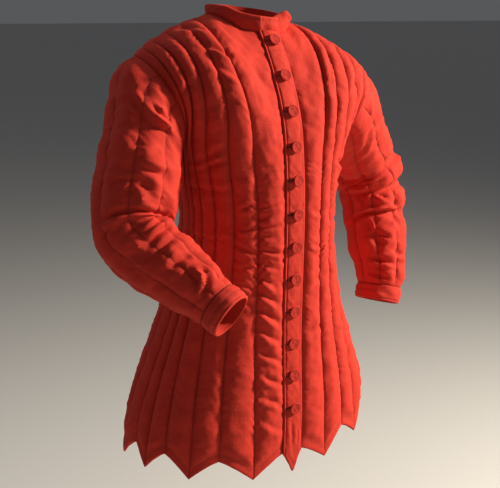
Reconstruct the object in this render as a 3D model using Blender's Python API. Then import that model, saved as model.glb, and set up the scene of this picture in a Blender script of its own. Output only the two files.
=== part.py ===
"""A quilted, padded gambeson as it stands when worn, with no wearer inside.

Every sewn piece is one closed wall: a plain inside surface and a quilted outside one.
Metres, +Z up. The front faces -Y and the wearer's right is -X. The origin is the middle
of the neck base, where the garment rests on the shoulders.
"""
import math

import bpy
import numpy as np

# Wall and quilting
SEAM_WALL = 0.004
BODY_PUFF = 0.007
SLEEVE_PUFF = 0.005
PUFF_ROUNDNESS = 2.2
UNDERLAP_WALL = 0.0025
BAND_LIFT = 0.0028
BAND_WALL = 0.0035
SEAM_INSET = 0.00016
# Share of the quilting height left on the last rows before a cross seam
PUFF_AT_SEAM = 0.0
PUFF_BESIDE_SEAM = 0.75

# Centre front
BAND_HALF = 0.021
EDGE = BAND_HALF + 0.0003
UNDERLAP_REACH = -0.83
UNDERLAP_MID = -0.42
BAND_COLUMNS = (-0.985, -0.75, -0.5, -0.25, -0.007)

# Hem
HEM_HEIGHT = -0.804
DAG_DEPTH = 0.038
DAG_POWER = 1.3
HEM_FOLLOW = (1.0, 0.45, 0.12)

# Body sections at the inner face. Columns: height, half width, depth of the front, depth
# of the back, shift along Y, shift along X, roll in degrees, rise at the sides per metre
BODY = (
    (-0.86, 0.253, 0.158, 0.168, 0.000, -0.010, 4.5, 0.65),
    (-0.80, 0.242, 0.155, 0.165, 0.000, -0.009, 4.5, 0.65),
    (-0.70, 0.222, 0.156, 0.160, 0.004, -0.005, 4.0, 0.40),
    (-0.606, 0.188, 0.145, 0.145, 0.004, -0.002, 3.0, 0.15),
    (-0.50, 0.154, 0.138, 0.130, -0.005, 0.000, 2.0, 0.00),
    (-0.39, 0.134, 0.127, 0.110, -0.020, 0.000, 1.0, 0.00),
    (-0.29, 0.144, 0.1255, 0.115, -0.0235, 0.000, 0.0, 0.00),
    (-0.245, 0.163, 0.1265, 0.122, -0.0155, 0.000, -1.5, 0.00),
)
SQUARENESS = 2.3
ARC_SAMPLES = 61
ROW_HEIGHTS = (
    HEM_HEIGHT, -0.775, -0.742, -0.70, -0.652, -0.602, -0.552,
    -0.502, -0.455, -0.41, -0.37, -0.33, -0.288, -0.245,
)
UPPER_ROWS = 12

# Channel lines as shares of the way from the centre to the side seam: at the hem, at the
# chest, and along the neckline and shoulder. They run evenly between those heights.
LINES = {
    "front_right": (
        (0.0, 0.20, 0.42, 0.59, 0.75, 0.88, 1.0),
        (0.0, 0.285, 0.50, 0.69, 0.84, 0.93, 1.0),
        (0.0, 0.34, 0.50, 0.66, 0.80, 0.91, 1.0),
    ),
    "front_left": (
        (0.0, 0.19, 0.36, 0.51, 0.67, 0.84, 1.0),
        (0.0, 0.21, 0.37, 0.54, 0.70, 0.86, 1.0),
        (0.0, 0.20, 0.36, 0.54, 0.69, 0.85, 1.0),
    ),
    "back": (
        (0.0, 0.167, 0.333, 0.50, 0.667, 0.833, 1.0),
        (0.0, 0.167, 0.333, 0.51, 0.69, 0.86, 1.0),
        (0.0, 0.167, 0.333, 0.51, 0.69, 0.86, 1.0),
    ),
}
LINES_BLEND = (-0.75, -0.245)
STEPS = {
    "front_right": (9, 4, 4, 4, 4, 4), "front_left": (9, 4, 4, 4, 4, 4),
    "back": (4, 4, 4, 4, 4, 4),
}
# Column and share across at which the neckline ends and the shoulder seam starts
NECK_COLUMN = {"front_right": 5, "front_left": 7, "back": 6}
NECK_WAY = {"front_right": 0.135, "front_left": 0.135, "back": 0.25}
# Further columns that the inside of a front keeps in its first channel
INNER_COLUMNS = (3, 5, 6, 7)

# Neck and shoulders
NECK_CENTRE = (0.0, 0.012)
NECK_RADIUS = 0.073
NECK_ROLL = -4.0
NECK_SIDE_ANGLE = 90.0
# Columns: angle from the centre front in degrees, height of the neckline
NECK_LINE = (
    (0.0, -0.031), (25.0, -0.0305), (45.0, -0.0265), (60.0, -0.0155),
    (75.0, -0.008), (95.0, -0.004), (130.0, -0.001), (180.0, 0.003),
)
SHOULDER = {"right": (-0.235, 0.010, -0.072), "left": (0.255, 0.000, -0.106)}
SHOULDER_ARCH = 0.012

# How the rows leave the chest and reach the top, for the wearer's left side.
# Columns: share across, then the leaving and the arriving tangent, X Y Z each
FRONT_RISE = (
    (0.0, 0.00, -0.01, 0.20, 0.00, 0.14, 0.20),
    (0.06, 0.00, -0.02, 0.20, -0.05, 0.20, 0.20),
    (0.135, 0.00, -0.03, 0.21, -0.12, 0.355, 0.15),
    (0.2, 0.00, -0.04, 0.22, -0.07, 0.385, 0.13),
    (0.35, 0.00, -0.07, 0.23, -0.02, 0.40, 0.12),
    (0.5, 0.00, -0.10, 0.24, 0.00, 0.40, 0.12),
    (0.76, 0.03, -0.14, 0.25, 0.02, 0.37, 0.10),
    (0.91, 0.05, -0.22, 0.20, 0.04, 0.33, 0.09),
    (1.0, 0.05, -0.27, 0.14, 0.07, 0.26, 0.08),
)
BACK_RISE = (
    (0.0, 0.00, 0.10, 0.20, 0.00, -0.16, 0.16),
    (0.12, 0.00, 0.11, 0.22, -0.05, -0.22, 0.15),
    (0.25, 0.00, 0.13, 0.24, -0.11, -0.38, 0.12),
    (0.34, 0.00, 0.14, 0.24, -0.06, -0.405, 0.11),
    (0.5, 0.00, 0.16, 0.24, 0.00, -0.40, 0.10),
    (0.76, 0.03, 0.18, 0.25, 0.02, -0.37, 0.10),
    (0.91, 0.05, 0.24, 0.20, 0.04, -0.31, 0.09),
    (1.0, 0.05, 0.30, 0.13, 0.07, -0.26, 0.08),
)

# Sleeves: rings across the arm. Columns: way along, centre X Y Z, facing X Y Z,
# radius outwards, radius forwards, roundness (0 keeps the armhole's shape)
ARM_RINGS = {
    "right": (
        (0.000, -0.198, -0.003, -0.160, -0.90, -0.02, -0.40, 0.088, 0.078, 0.0),
        (0.0202, -0.2155, -0.007, -0.168, -0.86, -0.05, -0.48, 0.085, 0.078, 0.12),
        (0.061, -0.233, -0.020, -0.193, -0.74, -0.10, -0.67, 0.069, 0.071, 0.65),
        (0.1317, -0.256, -0.038, -0.262, -0.42, -0.18, -0.89, 0.069, 0.070, 1.0),
        (0.199, -0.276, -0.051, -0.325, -0.25, -0.32, -0.91, 0.067, 0.068, 1.0),
        (0.2455, -0.285, -0.062, -0.367, 0.03, -0.53, -0.85, 0.063, 0.064, 1.0),
        (0.3046, -0.269, -0.094, -0.402, 0.33, -0.72, -0.61, 0.058, 0.060, 1.0),
        (0.376, -0.2395, -0.1445, -0.436, 0.42, -0.745, -0.52, 0.050, 0.052, 1.0),
        (0.4651, -0.202, -0.211, -0.482, 0.42, -0.745, -0.52, 0.038, 0.039, 1.0),
        (0.499, -0.188, -0.236, -0.500, 0.42, -0.745, -0.52, 0.037, 0.038, 1.0),
    ),
    "left": (
        (0.000, 0.2075, -0.008, -0.182, 0.83, 0.00, -0.55, 0.080, 0.078, 0.0),
        (0.0206, 0.222, -0.001, -0.1925, 0.80, 0.08, -0.59, 0.078, 0.077, 0.12),
        (0.070, 0.244, 0.018, -0.217, 0.68, 0.26, -0.68, 0.069, 0.071, 0.65),
        (0.131, 0.279, 0.044, -0.258, 0.64, 0.34, -0.69, 0.066, 0.068, 1.0),
        (0.195, 0.324, 0.062, -0.305, 0.46, 0.24, -0.85, 0.063, 0.065, 1.0),
        (0.241, 0.345, 0.067, -0.350, 0.22, 0.02, -0.97, 0.060, 0.062, 1.0),
        (0.297, 0.349, 0.056, -0.405, 0.00, -0.18, -0.98, 0.057, 0.058, 1.0),
        (0.365, 0.344, 0.038, -0.470, -0.08, -0.22, -0.97, 0.053, 0.055, 1.0),
        (0.4595, 0.335, 0.013, -0.558, -0.25, -0.15, -0.955, 0.041, 0.043, 1.0),
        (0.494, 0.326, 0.010, -0.592, -0.30, -0.12, -0.945, 0.040, 0.042, 1.0),
    ),
}
ARM_ROWS = (
    0.0, 0.018, 0.040, 0.062, 0.085, 0.108, 0.130, 0.150, 0.170, 0.187, 0.203, 0.218, 0.232,
    0.246, 0.260, 0.276, 0.292, 0.310, 0.330, 0.352, 0.375, 0.400, 0.425, 0.446, 0.4625,
)
CUFF_ROWS = (0.4628, 0.480, 0.4965)
CUFF_FLARE = 0.0012
ARM_STEPS = 3
# Folds pressed into the sleeves. Columns: way along, angle from the outer side towards
# the front in degrees, height (minus is a hollow), length along, width in degrees
ARM_FOLDS = {
    "right": (
        (0.095, 75.0, -0.008, 0.024, 38.0),
        (0.122, 60.0, 0.005, 0.022, 45.0),
        (0.205, 115.0, 0.003, 0.026, 75.0),
        (0.245, 120.0, -0.004, 0.022, 65.0),
        (0.325, 60.0, -0.006, 0.022, 45.0),
        (0.385, 75.0, -0.007, 0.022, 38.0),
        (0.415, 60.0, 0.004, 0.020, 45.0),
    ),
    "left": (
        (0.150, 60.0, 0.006, 0.022, 90.0),
        (0.180, 70.0, -0.009, 0.017, 80.0),
        (0.212, 70.0, 0.007, 0.020, 90.0),
        (0.243, 80.0, -0.009, 0.017, 80.0),
        (0.275, 60.0, 0.006, 0.020, 70.0),
        (0.310, 90.0, -0.006, 0.018, 60.0),
        (0.350, 60.0, 0.004, 0.025, 60.0),
    ),
}
# A hollow this deep presses the quilting nearly flat
FLATTEN_DEPTH = 0.0045
FLATTEN_SHARE = 0.85
# Near the armhole the wall turns towards its seam over this distance
SEAM_TURN = 0.020
# The quilting rises from nothing at the armpit over this distance
ARMPIT_EASE = 0.055

# Collar
# Columns: angle from the centre front in degrees, height of the top edge, lean outwards
COLLAR_TOP = {
    "right": (
        (-20.0, -0.002, 0.001), (0.0, -0.002, 0.001), (30.0, 0.001, 0.001),
        (45.0, 0.005, 0.001), (60.0, 0.012, 0.0), (80.0, 0.015, 0.0),
        (123.0, 0.017, 0.0), (180.0, 0.020, 0.0),
    ),
    "left": (
        (-20.0, -0.008, -0.001), (0.0, -0.006, -0.001), (17.0, 0.004, 0.0),
        (24.0, 0.012, 0.006), (32.0, 0.008, 0.009), (57.0, -0.001, 0.007),
        (85.0, 0.007, 0.003), (123.0, 0.015, 0.001), (180.0, 0.020, 0.0),
    ),
}
COLLAR_ROWS = (0.0, 0.33, 0.66, 1.0)
COLLAR_RIGHT_END = (-0.93, -0.58, -0.17)

# Buttons
BUTTON_FIRST = -0.048
BUTTON_PITCH = 0.0609
BUTTON_COUNT = 12
BUTTON_RADIUS = 0.011
BUTTON_SIDES = 16
BUTTON_CLEARANCE = 0.0003
# Outline of a button from its foot: radius as a share of the full one, height in metres
BUTTON_OUTLINE = (
    (0.22, 0.0), (0.20, 0.0030), (0.93, 0.0034), (1.0, 0.0054), (0.88, 0.0070),
)
BUTTON_CROWN = 0.0074

COLOURS = {
    "cloth": (0.50, 0.030, 0.018, 1.0),
    "button_cloth": (0.42, 0.024, 0.016, 1.0),
}
CLOTH_ROUGHNESS = 0.85


def unit(vectors):
    """Vectors made one long."""
    vectors = np.asarray(vectors, float)
    return vectors / np.maximum(np.linalg.norm(vectors, axis=-1, keepdims=True), 1e-12)


def smooth(table, at):
    """A row of a table at any value of its first column, along a smooth curve."""
    rows = np.asarray(table, float)
    keys = rows[:, 0]
    at = min(max(at, keys[0]), keys[-1])
    slopes = np.gradient(rows[:, 1:], keys, axis=0)
    i = min(int(np.searchsorted(keys, at, side="right")) - 1, len(keys) - 2)
    width = keys[i + 1] - keys[i]
    t = (at - keys[i]) / width
    return (
        (2 * t**3 - 3 * t**2 + 1) * rows[i, 1:]
        + (t**3 - 2 * t**2 + t) * width * slopes[i]
        + (3 * t**2 - 2 * t**3) * rows[i + 1, 1:]
        + (t**3 - t**2) * width * slopes[i + 1]
    )


def puff(share):
    """Height of a quilted channel across its width, 0 at both lines and 1 at the crown."""
    return 1.0 - abs(2.0 * share - 1.0) ** PUFF_ROUNDNESS


def quarter_arc(half_width, depth):
    """Points of a quarter section from its centre to its side, and the way to each."""
    angles = np.linspace(0.0, math.pi / 2, ARC_SAMPLES)
    across = half_width * np.sin(angles) ** (2 / SQUARENESS)
    out = depth * np.cos(angles) ** (2 / SQUARENESS)
    steps = np.hypot(np.diff(across), np.diff(out))
    return across, out, np.concatenate(([0.0], np.cumsum(steps)))


def body_point(height, side, face, way):
    """A point of the inner face: side is -1 right or 1 left, face -1 front or 1 back.

    way is the share from the centre (0) to the side seam (1). On the front it starts at
    the band's edge, and values down to -1 run across the band to its other edge.
    """
    half_width, front, back, y_shift, x_shift, roll, rise = smooth(BODY, height)
    across, out, length = quarter_arc(half_width, front if face < 0 else back)
    start = EDGE if face < 0 else 0.0
    along = start + way * (length[-1] - start) if way >= 0 else start * (1 + 2 * way)
    x = math.copysign(1.0, along) * side * np.interp(abs(along), length, across)
    y = y_shift + face * np.interp(abs(along), length, out)
    z = height + math.tan(math.radians(roll)) * x + rise * x * x
    return np.array([x + x_shift, y, z])


def neck_point(side, angle):
    """A point of the neckline; the angle runs from the centre front towards the side."""
    turn = math.radians(angle)
    x = NECK_CENTRE[0] + side * NECK_RADIUS * math.sin(turn)
    y = NECK_CENTRE[1] - NECK_RADIUS * math.cos(turn)
    z = smooth(NECK_LINE, abs(angle))[0] + math.tan(math.radians(NECK_ROLL)) * x
    return np.array([x, y, z])


def panel_name(side, face):
    """The panel on one side of the body: side -1 right or 1 left, face -1 front or 1 back."""
    if face > 0:
        return "back"
    return "front_left" if side > 0 else "front_right"


def top_point(side, face, way):
    """Where a row ends at the top: on the neckline, or on the shoulder seam beyond it."""
    neck = NECK_WAY[panel_name(side, face)]
    edge_angle = math.degrees(math.asin(EDGE / NECK_RADIUS))
    if face < 0 and way < 0:
        return neck_point(side, edge_angle * (1 + 2 * way))
    if way <= neck and face < 0:
        return neck_point(side, edge_angle + (NECK_SIDE_ANGLE - edge_angle) * way / neck)
    if way <= neck:
        return neck_point(side, 180.0 + (NECK_SIDE_ANGLE - 180.0) * way / neck)
    share = (way - neck) / (1 - neck)
    tip = np.array(SHOULDER["left" if side > 0 else "right"])
    point = neck_point(side, NECK_SIDE_ANGLE) * (1 - share) + tip * share
    point[2] += SHOULDER_ARCH * 4 * share * (1 - share)
    return point


def panel_point(side, face, ways, row, dag):
    """A point of a front or back on one of its rows, from the hem to the top."""
    hem_way, chest_way, top_way = ways
    if row < len(ROW_HEIGHTS):
        height = ROW_HEIGHTS[row]
        mix = (height - LINES_BLEND[0]) / (LINES_BLEND[1] - LINES_BLEND[0])
        mix = min(max(mix, 0.0), 1.0)
        if row < len(HEM_FOLLOW):
            height -= DAG_DEPTH * HEM_FOLLOW[row] * dag**DAG_POWER
        return body_point(height, side, face, hem_way * (1 - mix) + chest_way * mix)
    v = (row - len(ROW_HEIGHTS) + 1) / UPPER_ROWS
    tangents = smooth(FRONT_RISE if face < 0 else BACK_RISE, max(top_way, 0.0))
    leave = tangents[:3] * (side, 1, 1)
    arrive = tangents[3:] * (side, 1, 1)
    start = body_point(ROW_HEIGHTS[-1], side, face, chest_way)
    end = top_point(side, face, top_way)
    return (
        (2 * v**3 - 3 * v**2 + 1) * start
        + (v**3 - 2 * v**2 + v) * leave
        + (3 * v**2 - 2 * v**3) * end
        + (v**3 - v**2) * arrive
    )


def panel_columns(name):
    """Columns across a front or half the back: ways at hem, chest and top, puff, dag, line."""
    steps = STEPS[name]
    neck = NECK_COLUMN[name]
    columns = []
    for channel, count in enumerate(steps):
        for step in range(count + (channel == len(steps) - 1)):
            share = step / count
            ways = [row[channel] * (1 - share) + row[channel + 1] * share for row in LINES[name]]
            column = len(columns)
            if column <= neck:
                ways[-1] = NECK_WAY[name] * column / neck
            elif column < steps[0]:
                past = (column - neck) / (steps[0] - neck)
                ways[-1] = NECK_WAY[name] * (1 - past) + LINES[name][-1][1] * past
            dag = share if channel % 2 == 0 else 1 - share
            columns.append((tuple(ways), puff(share), dag, share in (0.0, 1.0)))
    return columns


def grid_normals(grid, closed=False):
    """Normals of a grid of points, rows by columns."""
    if closed:
        wrapped = np.concatenate((grid[:, -1:], grid, grid[:, :1]), axis=1)
        across = wrapped[:, 2:] - wrapped[:, :-2]
    else:
        across = np.gradient(grid, axis=1)
    return unit(np.cross(across, np.gradient(grid, axis=0)))


def make_panel(side, face, columns):
    """Grid and outward normals of half a front or back, and its quilting heights."""
    rows = len(ROW_HEIGHTS) + UPPER_ROWS
    grid = np.array([
        [panel_point(side, face, ways, row, dag) for ways, _, dag, _ in columns]
        for row in range(rows)
    ])
    normals = grid_normals(grid) * (side * -face)
    height = np.array([[rise for _, rise, _, _ in columns]] * rows) * BODY_PUFF
    height[-1] *= PUFF_AT_SEAM
    height[-2] *= PUFF_BESIDE_SEAM
    return grid, normals, height


def whole_back():
    """Both halves of the back joined into one grid, from the right side to the left."""
    half = panel_columns("back")
    right = make_panel(-1, 1, half)
    left = make_panel(1, 1, half)
    grid, _, height = (
        np.concatenate((a[:, ::-1], b[:, 1:]), axis=1) for a, b in zip(right, left)
    )
    marks = [column[3] for column in half]
    marks[NECK_COLUMN["back"]] = True
    return grid, -grid_normals(grid), height, marks[::-1] + marks[1:]


def arm_frames(side, ways):
    """Centre, outward and forward directions and sizes of the sleeve's rings."""
    frames = []
    out = None
    for way in ways:
        ring = smooth(ARM_RINGS[side], way)
        facing = unit(ring[3:6])
        if out is None:
            out = np.array([0.0, 0.0, 1.0])
        out = unit(out - facing * np.dot(out, facing))
        forward = np.cross(facing, out) * (1 if side == "left" else -1)
        frames.append((ring[:3], facing, out, forward, ring[6], ring[7], ring[8]))
    return frames


def fold_height(side, way, angle):
    """How far the folds move a point of the sleeve outwards."""
    total = 0.0
    for at, around, height, length, width in ARM_FOLDS[side]:
        turn = (angle - around + 180.0) % 360.0 - 180.0
        total += height * math.exp(-(((way - at) / length) ** 2) - (turn / width) ** 2)
    return total


def armpit_ease(grid, armpit):
    """Share of the quilting height that stays at each point near the armpit."""
    away = np.linalg.norm(grid - armpit, axis=2) / ARMPIT_EASE
    return np.clip(away, 0.0, 1.0) ** 1.5


def turn_to_seam(grid, normals, height, edge, first_row):
    """Leans the normals beside an armhole towards those of its seam, and thins the wall."""
    for row in range(first_row, len(grid) - 1):
        seam = normals[row, edge].copy()
        away = np.linalg.norm(grid[row] - grid[row, edge], axis=1, keepdims=True) / SEAM_TURN
        share = np.clip(away, 0.0, 1.0)
        normals[row] = unit(seam * (1 - share) + normals[row] * share)
        height[row] *= share[:, 0]


def make_sleeve(side, armhole):
    """Grid, normals and quilting heights of a sleeve and cuff, ring by ring."""
    ways = ARM_ROWS + CUFF_ROWS
    frames = arm_frames(side, ways)
    count = len(armhole)
    centre, facing, out, forward = frames[0][:4]
    local = np.array([
        [np.dot(p - centre, axis) for axis in (out, forward, facing)] for p in armhole
    ])
    rings = []
    for way, (centre, facing, out, forward, r_out, r_front, round_share) in zip(ways, frames):
        ring = []
        for k in range(count):
            angle = 360.0 * k / count
            turn = math.radians(angle)
            fold = 1.0 if way > ARM_ROWS[0] else 0.0
            swell = 1.0 + fold * fold_height(side, way, angle) / r_out
            oval = np.array([
                r_out * math.cos(turn) * swell, r_front * math.sin(turn) * swell, 0.0,
            ])
            a, b, c = local[k] * (1 - round_share) + oval * round_share
            ring.append(centre + out * a + forward * b + facing * c)
        rings.append(ring)
    grid = np.array(rings)
    normals = grid_normals(grid, closed=True)
    middle = grid.mean(axis=1, keepdims=True)
    if ((grid - middle) * normals).sum() < 0:
        normals = -normals
    height = np.zeros((len(ways), count))
    last = len(ARM_ROWS) - 1
    for row in range(1, last):
        ease = PUFF_BESIDE_SEAM if row in (1, last - 1) else 1.0
        for k in range(count):
            hollow = -fold_height(side, ways[row], 360.0 * k / count) / FLATTEN_DEPTH
            flat = 1.0 - FLATTEN_SHARE * min(max(hollow, 0.0), 1.0)
            height[row, k] = SLEEVE_PUFF * ease * flat * puff((k % ARM_STEPS) / ARM_STEPS)
    height *= armpit_ease(grid, grid[0, count // 2])
    return grid, normals, height


class Wall:
    """Collects the corners and faces of one closed wall."""

    def __init__(self):
        self.points = []
        self.faces = []

    def row(self, points):
        first = len(self.points)
        self.points.extend(np.asarray(p, float) for p in points)
        return list(range(first, len(self.points)))

    def strip(self, a, b, at_a, at_b):
        """Joins two rows of corners with triangles, each placed by its share along."""
        i = j = 0
        while i < len(a) - 1 or j < len(b) - 1:
            if j == len(b) - 1:
                step_a = True
            elif i == len(a) - 1:
                step_a = False
            elif abs(at_a[i + 1] - at_b[j + 1]) < 1e-9:
                near = np.linalg.norm(self.points[a[i + 1]] - self.points[b[j]])
                far = np.linalg.norm(self.points[a[i]] - self.points[b[j + 1]])
                step_a = near <= far
            else:
                step_a = at_a[i + 1] < at_b[j + 1]
            if step_a:
                self.faces.append((a[i], a[i + 1], b[j]))
                i += 1
            else:
                self.faces.append((a[i], b[j + 1], b[j]))
                j += 1

    def make(self, name, material, is_smooth=True):
        """The closed wall as a named object, its faces turned outwards."""
        points = np.array(self.points)
        faces = [f for f in self.faces if len(set(f)) == 3]
        corners = points[np.array(faces)]
        volume = np.einsum("ij,ij->i", corners[:, 0], np.cross(corners[:, 1], corners[:, 2])).sum()
        if volume < 0:
            faces = [f[::-1] for f in faces]
        mesh = bpy.data.meshes.new(name)
        mesh.from_pydata([tuple(p) for p in points], [], faces)
        mesh.validate()
        thing = bpy.data.objects.new(name, mesh)
        bpy.context.scene.collection.objects.link(thing)
        mesh.materials.append(material)
        if is_smooth:
            mesh.shade_smooth()
        return thing


def sheet_wall(inner, outer, keep):
    """A wall between two grids with four edges. keep marks the inner columns used."""
    wall = Wall()
    rows, count = outer.shape[:2]
    shares = np.arange(count) / (count - 1)
    every = list(range(count))
    coarse = [i for i in every if keep[i]]
    outside = [wall.row(outer[r]) for r in range(rows)]
    picks = [every if r == rows - 1 else coarse for r in range(rows)]
    inside = [wall.row(inner[r][picks[r]]) for r in range(rows)]
    for r in range(rows - 1):
        wall.strip(outside[r], outside[r + 1], shares, shares)
        wall.strip(inside[r + 1], inside[r], shares[picks[r + 1]], shares[picks[r]])
    wall.strip(inside[0], outside[0], shares[picks[0]], shares)
    wall.strip(outside[-1], inside[-1], shares, shares[picks[-1]])
    ways = np.arange(rows) / (rows - 1)
    for end, turned in ((0, False), (-1, True)):
        a = [r[end] for r in outside]
        b = [r[end] for r in inside]
        if turned:
            a, b = b, a
        wall.strip(a, b, ways, ways)
    return wall


def tube_wall(inner, outer, keep_first):
    """A wall between two sets of rings. Inner rings after the first use half the corners."""
    wall = Wall()
    rings, count = outer.shape[:2]
    every = list(range(count))
    half = every[::2]
    outside = [wall.row(outer[r]) for r in range(rings)]
    picks = [every if r == 0 and keep_first else half for r in range(rings)]
    inside = [wall.row(inner[r][picks[r]]) for r in range(rings)]
    closed = [row + row[:1] for row in outside]
    hollow = [row + row[:1] for row in inside]
    share = {r: np.array(picks[r] + [count]) / count for r in range(rings)}
    full = np.arange(count + 1) / count
    for r in range(rings - 1):
        wall.strip(closed[r], closed[r + 1], full, full)
        wall.strip(hollow[r + 1], hollow[r], share[r + 1], share[r])
    wall.strip(hollow[0], closed[0], share[0], full)
    wall.strip(closed[-1], hollow[-1], full, share[rings - 1])
    return wall


def inset(grid, top=True, first=False, last=True):
    """Draws the sewn edges of a grid back from the seam, along the cloth."""
    moved = grid.copy()
    if top:
        moved[-1] += SEAM_INSET * unit(grid[-2] - grid[-1])
    if first:
        moved[:, 0] += SEAM_INSET * unit(grid[:, 1] - grid[:, 0])
    if last:
        moved[:, -1] += SEAM_INSET * unit(grid[:, -2] - grid[:, -1])
    return moved


def material(name, colour):
    """A plain matt cloth."""
    made = bpy.data.materials.new(name)
    made.use_nodes = True
    shader = made.node_tree.nodes["Principled BSDF"]
    shader.inputs["Base Color"].default_value = colour
    shader.inputs["Roughness"].default_value = CLOTH_ROUGHNESS
    shader.inputs["Metallic"].default_value = 0.0
    return made


def share_normal(*spots):
    """Gives several (normals, index) spots their mean direction."""
    mean = unit(sum(normals[index] for normals, index in spots))
    for normals, index in spots:
        normals[index] = mean


def build_body():
    """Grids of the fronts, back and sleeves, with seams that share their edges."""
    chest = len(ROW_HEIGHTS) - 1
    lap = [((w, w, w), 0.0, 0.0, True) for w in (UNDERLAP_REACH, UNDERLAP_MID)]
    fronts = {
        "right": make_panel(-1, -1, panel_columns("front_right")),
        "left": make_panel(1, -1, lap + panel_columns("front_left")),
    }
    back_grid, back_normals, back_height, back_marks = whole_back()
    back_edge = {"right": 0, "left": -1}
    sleeves = {}
    rows = back_grid.shape[0]
    for side, (grid, normals, height) in fronts.items():
        edge = back_edge[side]
        armhole = [grid[r, -1] for r in range(rows - 1, chest - 1, -1)]
        armhole += [back_grid[r, edge] for r in range(chest + 1, rows - 1)]
        sleeve = make_sleeve(side, armhole)
        arm = sleeve[1]
        height *= armpit_ease(grid, grid[chest, -1])
        back_height *= armpit_ease(back_grid, grid[chest, -1])
        for r in range(chest):
            share_normal((normals, (r, -1)), (back_normals, (r, edge)))
        under = rows - 1 - chest
        share_normal((normals, (chest, -1)), (back_normals, (chest, edge)), (arm, (0, under)))
        share_normal((normals, (rows - 1, -1)), (back_normals, (rows - 1, edge)), (arm, (0, 0)))
        for r in range(chest + 1, rows - 1):
            share_normal((normals, (r, -1)), (arm, (0, rows - 1 - r)))
            share_normal((back_normals, (r, edge)), (arm, (0, under + r - chest)))
        turn_to_seam(grid, normals, height, -1, chest)
        turn_to_seam(back_grid, back_normals, back_height, edge, chest)
        arm[len(ARM_ROWS) - 1] = unit(arm[len(ARM_ROWS) - 1] + arm[len(ARM_ROWS)])
        arm[len(ARM_ROWS)] = arm[len(ARM_ROWS) - 1]
        sleeves[side] = sleeve
    return fronts, (back_grid, back_normals, back_height, back_marks), sleeves


def seam_line_normals(fronts, back):
    """Gives both sides of each shoulder seam the same normals, changing evenly along it."""
    back_grid, back_normals = back[:2]
    middle = back_grid.shape[1] // 2
    for side, (_, normals, _) in fronts.items():
        name = f"front_{side}"
        lap = normals.shape[1] - 1 - sum(STEPS[name])
        turn = 1 if side == "left" else -1
        share_normal(
            (normals, (-1, lap + NECK_COLUMN[name])),
            (back_normals, (-1, middle + turn * NECK_COLUMN["back"])),
        )
        neck = normals[-1, lap + NECK_COLUMN[name]].copy()
        tip = normals[-1, -1].copy()
        for panel, target, first, step in (
            (name, normals, lap, 1), ("back", back_normals, middle, turn),
        ):
            columns = panel_columns(panel)
            for i in range(NECK_COLUMN[panel], len(columns)):
                share = (columns[i][0][2] - NECK_WAY[panel]) / (1 - NECK_WAY[panel])
                target[-1, first + step * i] = unit(neck * (1 - share) + tip * share)


def collar_base(fronts, back, band_grid, band_normals):
    """Neckline points from the collar's right end round to its left end."""
    back_grid, back_normals = back[:2]
    middle = back_grid.shape[1] // 2
    right_grid, right_normals = fronts["right"][:2]
    left_grid, left_normals = fronts["left"][:2]
    lap = left_grid.shape[1] - 1 - sum(STEPS["front_left"])
    spots = []
    middle_normal = band_normals[-1, 2]
    for way in COLLAR_RIGHT_END:
        at = panel_point(-1, -1, (way,) * 3, len(ROW_HEIGHTS) - 1 + UPPER_ROWS, 0.0)
        spots.append((at, middle_normal, BAND_LIFT, BAND_LIFT + BAND_WALL))
    edge = panel_point(-1, -1, (0.0,) * 3, len(ROW_HEIGHTS) - 1 + UPPER_ROWS, 0.0)
    spots.append((edge, band_normals[-1, -1], BAND_LIFT, BAND_LIFT + BAND_WALL))
    for i in range(1, NECK_COLUMN["front_right"] + 1):
        spots.append((right_grid[-1, i], right_normals[-1, i], 0.0, SEAM_WALL))
    for i in range(middle - NECK_COLUMN["back"] + 1, middle + NECK_COLUMN["back"]):
        spots.append((back_grid[-1, i], back_normals[-1, i], 0.0, SEAM_WALL))
    for i in range(lap + NECK_COLUMN["front_left"], lap - 1, -1):
        wall = SEAM_WALL if i > lap else UNDERLAP_WALL
        spots.append((left_grid[-1, i], left_normals[-1, i], 0.0, wall))
    for i in range(lap - 1, -1, -1):
        spots.append((left_grid[-1, i], middle_normal, 0.0, UNDERLAP_WALL))
    return spots


def make_collar(spots):
    """The standing collar: inner and outer grids over the neckline points."""
    base = np.array([s[0] for s in spots])
    seam = np.array([s[1] for s in spots])
    low = np.array([s[2] for s in spots])
    high = np.array([s[3] for s in spots])
    outward = base * (1, 1, 0) - np.array(NECK_CENTRE + (0.0,))
    outward = unit(outward)
    top = []
    for i, way in enumerate(outward):
        side = "right" if i < len(spots) // 2 else "left"
        turn = math.degrees(math.atan2(way[0] if side == "left" else -way[0], -way[1]))
        if turn < -90:
            turn += 360
        height, lean = smooth(COLLAR_TOP[side], turn)
        top.append((height + math.tan(math.radians(NECK_ROLL)) * base[i, 0], lean))
    top = np.array(top)
    inner = []
    outer = []
    for row, share in enumerate(COLLAR_ROWS):
        mix = min(1.0, share / COLLAR_ROWS[1])
        normals = unit(seam * (1 - mix) + outward * mix)
        points = base.copy()
        points[:, 2] += (top[:, 0] - base[:, 2]) * share
        if row == 0:
            points[:, 2] += 3 * SEAM_INSET
        points += outward * (top[:, 1] * share**2)[:, None]
        inner.append(points + normals * low[:, None])
        outer.append(points + normals * high[:, None])
    return np.array(inner), np.array(outer)


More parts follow.
